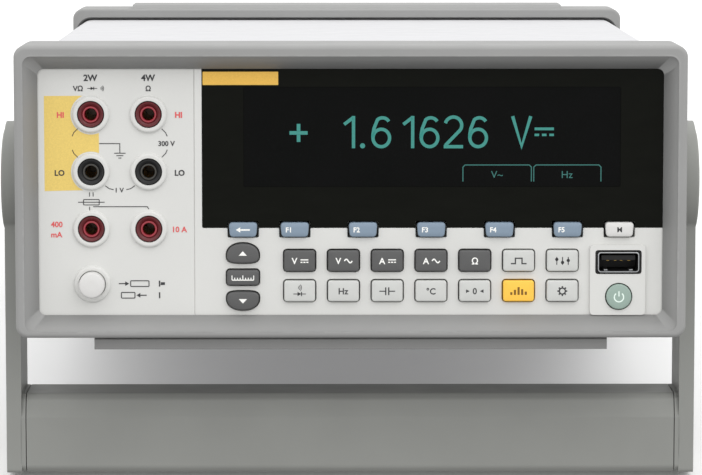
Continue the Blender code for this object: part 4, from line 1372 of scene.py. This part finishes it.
def make_jacks():
    rims = {"red": [], "black": []}
    contacts = []
    wall = 2.7
    rim = [(JACK_BORE - 0.05, -6.0), (JACK_BORE - 0.05, -0.45), (JACK_BORE + 0.1, -0.25),
           (wall - 0.15, -0.25), (wall - 0.02, -0.4), (wall - 0.02, -0.88), (JACK_BORE + 0.02, -6.0)]
    for node in JACKS:
        low, high = case_box(node)
        tint = "black" if node.endswith("_lo") else "red"
        back = low.y - high.y
        shoulder = -(PANEL_BACK + GAP - low.y)
        profile = [
            (0.0, back + 5.0), (JACK_BORE, back + 5.0), (JACK_BORE, -0.9), (wall, -0.9), (wall, -0.75),
            (JACK_RADIUS - 0.75, -0.3), (JACK_RADIUS - 0.5, -0.06), (JACK_RADIUS - 0.2, 0.0),
            (JACK_RADIUS, -0.2), (JACK_RADIUS, shoulder), (5.5, shoulder), (5.5, back), (0.0, back),
        ]
        add(f"{node}_insulator", at_face(node, [lathe(profile, 56)]), tint, replaces=(node,))
        rims[tint] += at_face(node, [lathe(rim, 48, True)])
        sleeve = [(1.95, back + 6.0), (1.95, -3.2), (1.85, -3.0), (1.72, -3.2), (1.72, back + 6.0)]
        contacts += at_face(node, [lathe(sleeve, 32, True)])
    add("jack_rims_red", rims["red"], "red_rim")
    add("jack_rims_black", rims["black"], "black_rim")
    add("jack_contacts", contacts, "brass")


def tube(outer, inner, low, high, edge=0.12):
    """A thin-walled sleeve along the view, from two outlines of equal count."""
    soft = inset(outer, edge)
    rings = [
        [(x, y, low) for x, y in outer], [(x, y, high - edge) for x, y in outer],
        [(x, y, high) for x, y in soft], [(x, y, high) for x, y in inset(inner, -edge * 0.5)],
        [(x, y, high - edge) for x, y in inner], [(x, y, low) for x, y in inner],
    ]
    return loft(rings, True)


def usb_mouth(width, height, radius):
    return rounded_about(width, height, radius, 5)


def make_usb():
    node = "usb_port"
    low, high = case_box(node)
    middle = (low + high) / 2
    back = low.y - high.y
    floor = slab([usb_mouth(13.2, 6.2, 0.8)], back, back + 0.6)
    # A black sleeve inside the metal shell: painted shade for the dark inside of the opening, not a real
    # part.
    shade_lining = tube(usb_mouth(13.02, 6.02, 0.76), usb_mouth(12.7, 5.7, 0.6), back + 0.7, -0.5, 0.05)
    shell = [tube(usb_mouth(13.8, 6.8, 1.1), usb_mouth(13.0, 6.0, 0.75), back, 0.0)]
    turned_up = Matrix.Translation((0.0, -3.0, 0.0)) @ Matrix.Rotation(math.radians(90), 4, "X")
    for across in (-4.2, 4.2):
        spring = [(across - 0.9, -6.0), (across + 0.9, -6.0), (across + 0.6, -1.2), (across - 0.6, -1.2)]
        plate = slab([filleted(spring, 0.2, 2)], 0.0, 0.5, 0.15, 2)
        plate.transform(turned_up @ Matrix.Scale(-1, 4, (0, 0, 1)))
        bmesh.ops.reverse_faces(plate, faces=plate.faces)
        shell.append(plate)
    add("usb_shell", at_face(node, shell), "steel", replaces=(node,))
    tongue = box(middle.x - 5.7, middle.x + 5.7, low.y + 1.2, high.y - 1.0, middle.z + 0.5,
                 middle.z + 2.3, 0.25)
    # The tongue's piece also carries the black sleeve of painted shade inside the shell.
    add("usb_tongue", [tongue] + at_face(node, [floor, shade_lining]), "socket_black")
    pads = []
    for across, width in ((-3.5, 1.0), (-1.0, 0.9), (1.0, 0.9), (3.5, 1.0)):
        x = middle.x + across
        pads.append(box(x - width / 2, x + width / 2, low.y + 2.0, high.y - 2.0, middle.z + 0.32,
                        middle.z + 0.6, 0.06))
    add("usb_contacts", pads, "brass")
    throat = tube(usb_mouth(15.2, 7.8, 0.9), usb_mouth(14.1, 7.1, 0.9), -8.0, -0.25, 0.1)
    add("usb_gasket", [put(throat, front(USB_PLATE_FRONT), middle.x, 0.0, middle.z)], "socket_black")


def make_round_buttons():
    node = "power_button"
    low, high = case_box(node)
    seat = PANEL_BACK + GAP + 1.3
    cap = dome(round_key(4.2), -(seat - low.y), 0.0, 0.5, 0.18, 2.6)
    add("power_button_cap", at_face(node, [cap]), "power_key", "power_button_body", replaces=(node,))
    sign = [stroke(arc(0.0, -0.1, 1.55, 128, 412, 28), 0.42), stroke([(0.0, 0.15), (0.0, 1.9)], 0.42)]
    add("power_button_sign", at_face(node, sign, 0.03), "ink_pale", "power_button_body")
    node = "input_select_button"
    low, high = case_box(node)
    cap = dome(round_key(4.3), -(seat - low.y), 0.0, 0.8, 0.25, 3.0)
    plunger = lathe([(0.0, -9.0), (2.0, -9.0), (2.0, low.y - high.y), (0.0, low.y - high.y)], 24)
    add("input_select_cap", at_face(node, [cap, plunger]), "white_key", "input_select_body",
        replaces=(node,))


# ---------------------------------------------------------------- handle


GRIP_BOTTOM = -51.6
GRIP_CREASE = -32.2
GRIP_TOP = -24.3
GRIP_HALF_WIDTH = 110.9
ARM_HALF_DEPTH = 13.25
ARM_INNER = 112.6
ARM_OUTER = 117.7
HUB_OUTER = 118.5
STUB_RADIUS = 6.0
BOSS_RADIUS = 18.0


def sided(outline, side):
    """An outline of (depth, height) as flank(side, ...) takes it."""
    return [(side * depth, height) for depth, height in outline]


def grip_section(front_side, back, clearance=0.0):
    """The crossbar seen from the side, resting on the table or a little above it."""
    chamfer = 2.0
    return filleted([
        (front_side + chamfer, GRIP_BOTTOM + clearance), (table_depth(GRIP_BOTTOM), GRIP_BOTTOM + clearance),
        (back, table_height(back) + clearance), (back, GRIP_TOP - chamfer), (back - chamfer, GRIP_TOP),
        (front_side + 3.5, GRIP_TOP), (front_side + 1.6, GRIP_TOP - chamfer), (front_side, GRIP_CREASE),
        (front_side, GRIP_BOTTOM + chamfer),
    ], 2.4, 4)


def make_grip(front_side, back):
    section = grip_section(front_side, back)
    grip = across_case(section, -GRIP_HALF_WIDTH, GRIP_HALF_WIDTH, 0.4, 2)
    middle = 0.5 * (GRIP_BOTTOM + GRIP_TOP)
    pockets = []
    for side in (-1, 1):
        ends = sorted((side * 90.5, side * (GRIP_HALF_WIDTH + 1.0)))
        pockets.append(box(*ends, PIVOT[0] - 8.0, PIVOT[0] + 8.0, middle - 9.0, middle + 9.0))
    add("grip_bar", [grip], "handle", "handle_body", replaces=("handle_grip",), cuts=pockets)


def make_arm(side, name, body, front_side, back):
    clearance_height = 0.42
    join_angle = math.asin(ARM_HALF_DEPTH / HUB_RADIUS)
    outline = filleted([
        (front_side, GRIP_CREASE), (front_side, GRIP_BOTTOM), (table_depth(GRIP_BOTTOM), GRIP_BOTTOM + 0.1),
        (back, table_height(back) + clearance_height), (back, GRIP_CREASE),
    ], 1.6, 4)[4:-4]
    sweep = math.degrees(2 * math.pi - 2 * join_angle)
    start = math.degrees(join_angle) - 90.0
    outline += arc(*PIVOT, HUB_RADIUS, start, start + sweep, 64)
    blade = put(slab([sided(outline, side)], ARM_INNER, ARM_OUTER, 1.3, 4, True), flank(side))
    root, dish = ARM_OUTER - 0.6, HUB_OUTER - 0.7
    cap = [(0.0, root), (17.5, root), (17.5, HUB_OUTER - 0.6)]
    cap += [(17.5 - inward, HUB_OUTER - drop) for inward, drop in rounding(0.6, 3)]
    cap += [(14.4, HUB_OUTER), (14.0, HUB_OUTER - 0.15), (13.4, dish), (0.0, dish)]
    stub = [(0.0, 102.5), (STUB_RADIUS - 0.6, 102.5), (STUB_RADIUS, 103.1), (STUB_RADIUS, ARM_INNER + 1.0),
            (0.0, ARM_INNER + 1.0)]
    middle = 0.5 * (GRIP_BOTTOM + GRIP_TOP)
    ends = sorted((side * 93.5, side * (ARM_INNER + 1.0)))
    tenon = box(*ends, PIVOT[0] - 7.6, PIVOT[0] + 7.6, middle - 8.6, middle + 8.6, 0.8)
    ridges = []
    for index in range(-2, 3):
        height = PIVOT[1] + 4.2 * index
        half = math.sqrt(11.6 ** 2 - (height - PIVOT[1]) ** 2)
        ridge = slab([rounded(-half, half, -0.7, 0.7, 0.69, 4)], HUB_OUTER - 1.0, HUB_OUTER - 0.15, 0.3, 2)
        ridges.append(put(ridge, flank(side), 0.0, PIVOT[0], height))
    shoulder = slab([sided(grip_section(front_side, back, 0.4), side)], GRIP_HALF_WIDTH + GAP,
                    ARM_INNER + 0.2, 0.2, 2)
    parts = [blade, on_pivot(lathe(cap, 96), side), on_pivot(lathe(stub, 40), side), tenon]
    parts.append(put(shoulder, flank(side)))
    add(name, parts + ridges, "handle", body, replaces=(name.replace("grip", "handle"),))


def make_boss(side, name):
    seat = COVER_HALF_WIDTH + GAP
    hole = STUB_RADIUS + GAP
    face = 112.0
    profile = [(hole, face - 0.4), (hole + 0.4, face)]
    profile += [(BOSS_RADIUS - inward, face - drop) for inward, drop in reversed(rounding(0.9))]
    profile += [(BOSS_RADIUS, seat), (9.0, seat), (9.0, 100.0), (0.0, 100.0), (0.0, 101.5), (hole, 101.5)]
    add(name, [on_pivot(lathe(profile, 72, True), side)], "handle", replaces=(name.replace("seat", "boss"),))


def make_handle():
    front_side, back = PIVOT[0] - ARM_HALF_DEPTH, PIVOT[0] + ARM_HALF_DEPTH
    make_grip(front_side, back)
    for side, word in ((-1, "left"), (1, "right")):
        make_arm(side, f"grip_arm_{word}", f"arm_{word}_body", front_side, back)
        make_boss(side, f"pivot_seat_{word}")


# ---------------------------------------------------------------- back of the case


FLANGE_FRONT = 290.8
FAN_CENTRE = (-22.0, 52.0)
FAN_SIZE = 40.0
FAN_SCREWS = [(FAN_CENTRE[0] + x, FAN_CENTRE[1] + z) for x in (-16, 16) for z in (-16, 16)]
REAR_COLUMNS = (-88.5, -69.45)
REAR_ROWS = (66.5, 47.45)


def rear_tube(outer, inner, low, high, edge):
    return put(tube(turned_round(outer)[::-1], turned_round(inner)[::-1], low, high, edge), rear(0.0))

def hexagon(radius, low, high, bore):
    """A hexagonal post with a threaded hole."""
    ring = [(bore, low), (radius, low), (radius, high - 0.3), (radius - 0.3, high), (bore + 0.3, high),
            (bore, high - 0.3)]
    return lathe(ring, 6, True)


def make_rear_panel():
    fan_x, fan_z = FAN_CENTRE
    outline = rounded(-107.0, 107.0, 6.0, 91.0, 4.0)
    places = (
        (67.7, 96.3, 19.7, 78.3), (36.7, 53.3, 37.2, 51.3), (3.0, 21.0, 39.0, 49.0),
        (6.0, 50.0, 64.0, 76.0), (-96.3, -61.7, 38.7, 75.3),
    )
    holes = [rounded(*place, 0.4, 3) for place in places]
    bar = 3.4
    for index in range(-3, 4):
        height = fan_z + index * 2 * bar * 0.75
        half = math.sqrt((FAN_SIZE / 2 - 1.5) ** 2 - (height - fan_z) ** 2)
        holes.append(rounded(fan_x - half, fan_x + half, height - bar / 2, height + bar / 2,
                             bar / 2 - 0.01, 6))
    sheet = slab([turned_round(o) for o in [outline] + holes], -2.0, 0.0, 0.25, 2)
    add("rear_sheet", [put(sheet, rear(REAR_FACE))], "cover", replaces=("rear_panel",))
    heads = []
    for x in (-99.0, 0.0, 99.0):
        for z in (13.0, 84.0):
            heads.append(put(screw_head(2.4), rear(REAR_FACE + 1.0), x, 0.0, z))
    for x, z in FAN_SCREWS:
        heads.append(put(screw_head(2.0), rear(REAR_FACE + 0.9), x, 0.0, z))
    stud_x, stud_z = -46.0, 18.0
    washer = lathe([(1.6, 0.0), (4.4, 0.0), (4.4, 0.6), (4.1, 0.8), (1.6, 0.8)], 40, True)
    thread = [(0.0, -1.5), (1.75, -1.5)]
    for turn in range(12):
        thread += [(1.75, 0.1 + 0.5 * turn), (1.5, 0.35 + 0.5 * turn)]
    thread += [(1.3, 6.4), (0.0, 6.4)]
    post = [washer, hexagon(3.4, 0.8, 3.4, 1.7), lathe(thread, 24)]
    heads += [put(shape, rear(REAR_FACE), stud_x, 0.0, stud_z) for shape in post]
    add("rear_screws", heads, "screw")
    marks = [stroke([(0.0, 2.2), (0.0, 0.2)], 0.35)]
    for half, height in ((2.0, 0.2), (1.25, -0.7), (0.5, -1.6)):
        marks.append(stroke([(-half, height), (half, height)], 0.35))
    add("ground_mark", [put(shape, rear(REAR_FACE), stud_x + 9.5, 0.0, stud_z) for shape in marks],
        "ink_dark")


def make_power_inlet():
    flange = rear_plate([rounded(66.0, 98.0, 17.5, 80.5, 1.8, 5)], FLANGE_FRONT, 292.8, 0.7)
    body = box(68.2, 95.8, 268.0, 291.5, 20.2, 77.8, 0.8)
    socket = filleted([(70.5, 37.0), (93.5, 37.0), (93.5, 49.5), (89.5, 53.5), (74.5, 53.5),
                       (70.5, 49.5)], 1.0, 4)
    cuts = [
        rear_plate([socket], 276.0, 294.0),
        rear_plate([rounded(71.0, 93.0, 62.5, 75.5, 0.8, 4)], 278.0, 294.0),
        rear_plate([rounded(72.0, 92.0, 22.5, 30.5, 0.5, 4)], 271.0, 294.0),
    ]
    add("inlet_body", [flange], "socket_black", replaces=("power_inlet",), joins=[body], cuts=cuts)
    blades = []
    for x, z in ((75.0, 43.4), (89.0, 43.4), (82.0, 47.4)):
        blades.append(box(x - 1.0, x + 1.0, 275.0, 289.0, z - 2.0, z + 2.0, 0.5))
    add("inlet_blades", blades, "steel")
    drawer = box(72.4, 91.6, 271.5, 293.4, 22.9, 30.1, 0.5)
    lip = box(78.0, 86.0, 293.0, 294.6, 28.5, 30.1, 0.4)
    recess = box(79.0, 85.0, 292.9, 293.9, 24.4, 27.4, 0.3)
    add("drawer_body", [drawer], "socket_black", "fuse_drawer_body", replaces=("fuse_drawer",), joins=[lip],
        cuts=[recess])
    pivot = (284.0, 69.0)
    tilt = Matrix.Rotation(math.radians(-8.0), 4, "X")
    outline = filleted([(-4.0, -4.2), (6.5, -5.2), (5.2, 0.0), (6.5, 5.2), (-4.0, 4.2)], 0.8, 4)
    rocker = across_case(outline, 71.5, 92.5, 0.5)
    seat = Matrix.Translation((0.0, *pivot)) @ tilt
    rocker.transform(seat)
    add("rocker_cap", [rocker], "socket_black", "rocker_body", replaces=("power_rocker",))
    marks = []
    for way, shape in ((1, stroke([(0.0, -1.2), (0.0, 1.2)], 0.5)),
                       (-1, stroke(circle(1.15, 24), 0.45, closed=True))):
        lean = Matrix.Rotation(math.radians(-14.0 * way), 4, "X")
        shape.transform(seat @ Matrix.Translation((82.0, 5.88, 2.7 * way)) @ lean @ rear(0.0))
        marks.append(shape)
    add("rocker_marks", marks, "ink_white", "rocker_body")


def fan_blade(turn):
    """One curved blade, twisted from its root to its tip."""
    rings = []
    stations = 8
    for step in range(stations + 1):
        share = step / stations
        radius = 7.6 + 10.0 * share
        pitch = math.radians(50.0 - 20.0 * share)
        half = 3.6 + 0.4 * share
        section = []
        for side, order in ((1, range(9)), (-1, range(8, -1, -1))):
            for index in order:
                along = (index / 4 - 1.0) * half
                camber = 0.9 * (1.0 - (along / half) ** 2)
                thick = 0.45 * math.sqrt(max(0.0, 1.0 - (along / half) ** 2)) + 0.05
                off = camber + side * thick
                around = along * math.cos(pitch) - off * math.sin(pitch)
                depth = along * math.sin(pitch) + off * math.cos(pitch)
                angle = turn + around / radius
                section.append((radius * math.cos(angle), depth, radius * math.sin(angle)))
        rings.append(section)
    return loft(rings)


def make_fan():
    x, z = FAN_CENTRE
    half = FAN_SIZE / 2
    front_side, back = 277.5, REAR_FACE - 2.0 - GAP
    outline = rounded(x - half, x + half, z - half, z + half, 3.0)
    duct = circle(half - 1.0, 72, x, z)
    holes = [circle(1.8, 20, *screw) for screw in FAN_SCREWS]
    shell = rear_plate([outline, duct] + holes, front_side, back, 0.4, 2)
    reach = half - 0.6
    joins = [
        box(x - reach, x + reach, front_side + 0.1, front_side + 1.3, z - 1.2, z + 1.2, 0.2),
        box(x - 1.2, x + 1.2, front_side + 0.1, front_side + 1.3, z - reach, z + reach, 0.2),
    ]
    add("fan_shroud", [shell], "black", replaces=("fan_frame",), joins=joins)
    hub_front, hub_back = front_side + 1.8, back - 0.6
    middle = 0.5 * (hub_front + hub_back)
    profile = [(0.0, hub_front), (8.0, hub_front), (8.0, hub_back - 0.7)]
    profile += [(8.0 - inward, hub_back - drop) for inward, drop in rounding(0.7, 3)]
    profile += [(5.2, hub_back), (4.9, hub_back - 0.2), (0.0, hub_back - 0.2)]
    hub = put(lathe(profile, 56), rear(0.0), x, 0.0, z)
    blades = [put(fan_blade(2 * math.pi * index / 7), None, x, middle, z) for index in range(7)]
    add("fan_wheel", [hub] + blades, "black", "fan_rotor_body", replaces=("fan_rotor",))


def make_connectors():
    steel, gold, black = [], [], []
    shell = [(3.6, 48.2), (20.4, 48.2), (19.0, 39.8), (5.0, 39.8)]
    outer = filleted(list(reversed(shell)), 2.0, 5)
    hollow = [(4.4, 47.6), (19.6, 47.6), (18.4, 40.4), (5.6, 40.4)]
    inner = filleted(list(reversed(hollow)), 1.6, 5)
    steel.append(rear_plate([rounded(-3.4, 27.4, 37.8, 50.2, 1.2, 4), inner], FLANGE_FRONT, 292.0, 0.3, 2))
    steel.append(rear_tube(outer, inner, 291.4, 297.0, 0.2))
    steel.append(box(3.3, 20.7, 276.0, 290.9, 39.3, 48.7, 0.4))
    for x in (-0.6, 24.6):
        steel.append(put(hexagon(2.5, 292.0, 296.6, 1.1), rear(0.0), x, 0.0, 44.0))
    add("serial_shell", steel, "steel", replaces=("rs232_connector",))
    black.append(box(5.4, 18.6, 290.5, 292.4, 40.6, 47.4, 0.3))
    for count, height in ((5, 45.6), (4, 42.6)):
        for index in range(count):
            x = 12.0 + 2.74 * (index - (count - 1) / 2)
            pin = lathe([(0.0, 290.0), (0.5, 290.0), (0.5, 296.0), (0.3, 296.5), (0.0, 296.6)], 16)
            gold.append(put(pin, rear(0.0), x, 0.0, height))
    mouth = [(39.0, 40.0), (42.0, 40.0), (42.0, 38.6), (48.0, 38.6), (48.0, 40.0), (51.0, 40.0), (51.0, 48.5),
             (39.0, 48.5)]
    shield = rear_plate([rounded(37.0, 53.0, 37.5, 51.0, 0.5, 3), mouth], 279.0, 292.0, 0.2, 2)
    jack = [shield, box(37.0, 53.0, 272.0, 279.1, 37.5, 51.0, 0.3)]
    add("lan_shield", jack, "steel", replaces=("lan_socket",))
    black.append(box(39.1, 50.9, 279.1, 280.2, 40.1, 48.4, 0.2))
    for index in range(8):
        x = 45.0 + 1.02 * (index - 3.5)
        gold.append(box(x - 0.2, x + 0.2, 280.0, 289.0, 47.7, 48.1, 0.1))
    bus = filleted([(8.6, 65.5), (47.4, 65.5), (48.0, 74.5), (8.0, 74.5)], 2.2, 5)
    bus_inner = filleted([(9.6, 66.3), (46.4, 66.3), (47.0, 73.7), (9.0, 73.7)], 1.8, 5)
    flange = rear_plate([rounded(1.0, 55.0, 62.5, 77.5, 1.4, 4), bus_inner], FLANGE_FRONT, 292.0, 0.3, 2)
    parts = [flange, box(6.3, 49.7, 276.0, 290.9, 64.3, 75.7, 0.4)]
    parts.append(rear_tube(bus, bus_inner, 291.4, 298.0, 0.25))
    for x in (4.3, 51.7):
        parts.append(put(hexagon(2.7, 292.0, 297.6, 1.4), rear(0.0), x, 0.0, 70.0))
    add("bus_shell", parts, "steel", replaces=("gpib_connector",))
    black.append(box(9.4, 46.6, 290.6, 292.2, 66.6, 73.4, 0.3))
    black.append(box(13.0, 43.0, 290.6, 297.2, 68.9, 71.1, 0.4))
    for index in range(12):
        x = 28.0 + 2.16 * (index - 5.5)
        for height in (68.75, 71.25):
            gold.append(box(x - 0.45, x + 0.45, 291.5, 296.6, height - 0.15, height + 0.15, 0.08))
    add("connector_inserts", black, "socket_black")
    add("connector_contacts", gold, "brass")


def make_rear_terminals():
    centres = [(x, z) for x in REAR_COLUMNS for z in REAR_ROWS]
    bores = [circle(4.4, 40, *centre) for centre in centres]
    block = rear_plate([rounded(-98.0, -60.0, 37.0, 77.0, 2.5, 5)] + bores, FLANGE_FRONT, 294.0, 0.5)
    back = rear_plate([rounded(-96.0, -62.0, 39.0, 75.0, 1.5, 4)] + bores, 275.0, 291.2)
    add("rear_terminal_plate", [block, back], "panel", replaces=("rear_terminal_block",))
    tints = {"red": [], "black": []}
    sleeves = []
    for x, z in centres:
        profile = [(0.0, 277.0), (JACK_BORE, 277.0), (JACK_BORE, 293.6), (JACK_BORE + 0.3, 294.0)]
        profile += [(4.35 - inward, 294.4 - drop) for inward, drop in reversed(rounding(0.5, 3))]
        profile += [(4.35, 276.0), (0.0, 276.0)]
        tint = "red" if z > 60.0 else "black"
        tints[tint].append(put(lathe(profile, 48), rear(0.0), x, 0.0, z))
        sleeve = [(1.95, 278.0), (1.95, 292.6), (1.8, 292.8), (1.7, 292.6), (1.7, 278.0)]
        sleeves.append(put(lathe(sleeve, 32, True), rear(0.0), x, 0.0, z))
    for tint, shapes in tints.items():
        add(f"rear_terminals_{tint}", shapes, tint)
    add("rear_terminal_sleeves", sleeves, "brass")
    marks = lettering((
        ("HI", 3.2, 93.8, 71.6, 0.05), ("LO", 3.2, 93.8, 42.2, 0.05),
        ("V\u03a9", 2.8, 88.5, 58.0, 0.04), ("4W", 2.8, 69.45, 58.0, 0.04),
    ))
    add("rear_terminal_marks", [put(shape, rear(294.0)) for shape in marks], "ink_dark")


# ---------------------------------------------------------------- inner nodes that keep their CAD shape


def finish_inner_nodes():
    finishes = {
        "chassis_tray": "steel", "front_board": "board", "main_board": "board",
        "power_transformer": "winding", "keypad_mat": "mat", "display_module": "display",
    }
    for node, finish in finishes.items():
        for material_slot in frame["nodes"][node].material_slots:
            material_slot.material = FINISH[finish]


# ---------------------------------------------------------------- camera, light and floor


CAMERA_PLACE = (-6.95, -1176.3, 159.9)
CAMERA_PITCH = 6.13
CAMERA_YAW = -0.34
CAMERA_LENS = 183.64


def make_camera():
    data = bpy.data.cameras.new("camera")
    data.sensor_width = 36.0
    data.lens = CAMERA_LENS
    camera = link(bpy.data.objects.new("camera", data))
    yaw = Matrix.Rotation(math.radians(CAMERA_YAW), 4, "Z")
    pitch = Matrix.Rotation(math.radians(90.0 - CAMERA_PITCH), 4, "X")
    camera.matrix_world = CASE @ Matrix.Translation(Vector(CAMERA_PLACE) * MM) @ yaw @ pitch
    bpy.context.scene.camera = camera


def softbox(name, place, target, width, height, power):
    data = bpy.data.lights.new(name, "AREA")
    data.shape = "RECTANGLE"
    data.size = width
    data.size_y = height
    data.energy = power
    lamp = link(bpy.data.objects.new(name, data))
    lamp.location = place
    lamp.rotation_euler = (Vector(target) - Vector(place)).to_track_quat("-Z", "Y").to_euler()


def soft_tent():
    """White light from all round, stronger from above and a little stronger from the right."""
    level, from_above, from_right, least = 0.97, 0.72, 0.03, 0.02
    world = bpy.data.worlds.new("studio")
    world.use_nodes = True
    tree = world.node_tree
    way = tree.nodes.new("ShaderNodeSeparateXYZ")
    tree.links.new(tree.nodes.new("ShaderNodeTexCoord").outputs["Generated"], way.inputs[0])
    strength = level
    for axis, gain in (("Z", from_above), ("X", from_right)):
        node = tree.nodes.new("ShaderNodeMath")
        node.operation = "MULTIPLY_ADD"
        tree.links.new(way.outputs[axis], node.inputs[0])
        node.inputs[1].default_value = gain
        if isinstance(strength, float):
            node.inputs[2].default_value = strength
        else:
            tree.links.new(strength, node.inputs[2])
        strength = node.outputs[0]
    floor = tree.nodes.new("ShaderNodeMath")
    floor.operation = "MAXIMUM"
    floor.inputs[1].default_value = least
    tree.links.new(strength, floor.inputs[0])
    background = tree.nodes["Background"]
    background.inputs["Color"].default_value = (1.0, 1.0, 1.0, 1.0)
    tree.links.new(floor.outputs[0], background.inputs["Strength"])
    return world


def make_studio():
    bpy.context.scene.view_settings.view_transform = "Standard"
    bpy.context.scene.world = soft_tent()
    softbox("key_light", (0.6, -0.9, 1.3), (0.0, 0.0, 0.05), 0.9, 0.9, 3.0)
    grid = bmesh.new()
    bmesh.ops.create_grid(grid, x_segments=24, y_segments=24, size=4.0)
    mesh = bpy.data.meshes.new("floor")
    grid.to_mesh(mesh)
    grid.free()
    floor = link(bpy.data.objects.new("floor", mesh))
    nodes = Nodes("floor_paper")
    tone = nodes.ramp(nodes.noise(60.0, 3.0), 0.3, 0.7)
    shade = nodes.mix(tone, (0.86, 0.86, 0.855, 1.0), (0.88, 0.88, 0.875, 1.0))
    nodes.bump(nodes.noise(1.2, 3.0), 0.05, 0.02)
    nodes.set(Base_Color=shade, Roughness=nodes.ramp(tone, 0.0, 1.0, 0.8, 0.9), Specular_IOR_Level=0.2)
    mesh.materials.append(nodes.material)
    floor.visible_diffuse = False
    floor.visible_glossy = False


make_front_boot()
make_rear_boot()
make_cover()
make_fuse_door()
make_keys()
make_panel()
make_window()
make_reading()
make_terminal_label()
make_terminal_marks()
make_jacks()
make_usb()
make_round_buttons()
make_handle()
make_rear_panel()
make_power_inlet()
make_fan()
make_connectors()
make_rear_terminals()
finish_inner_nodes()
make_camera()
make_studio()
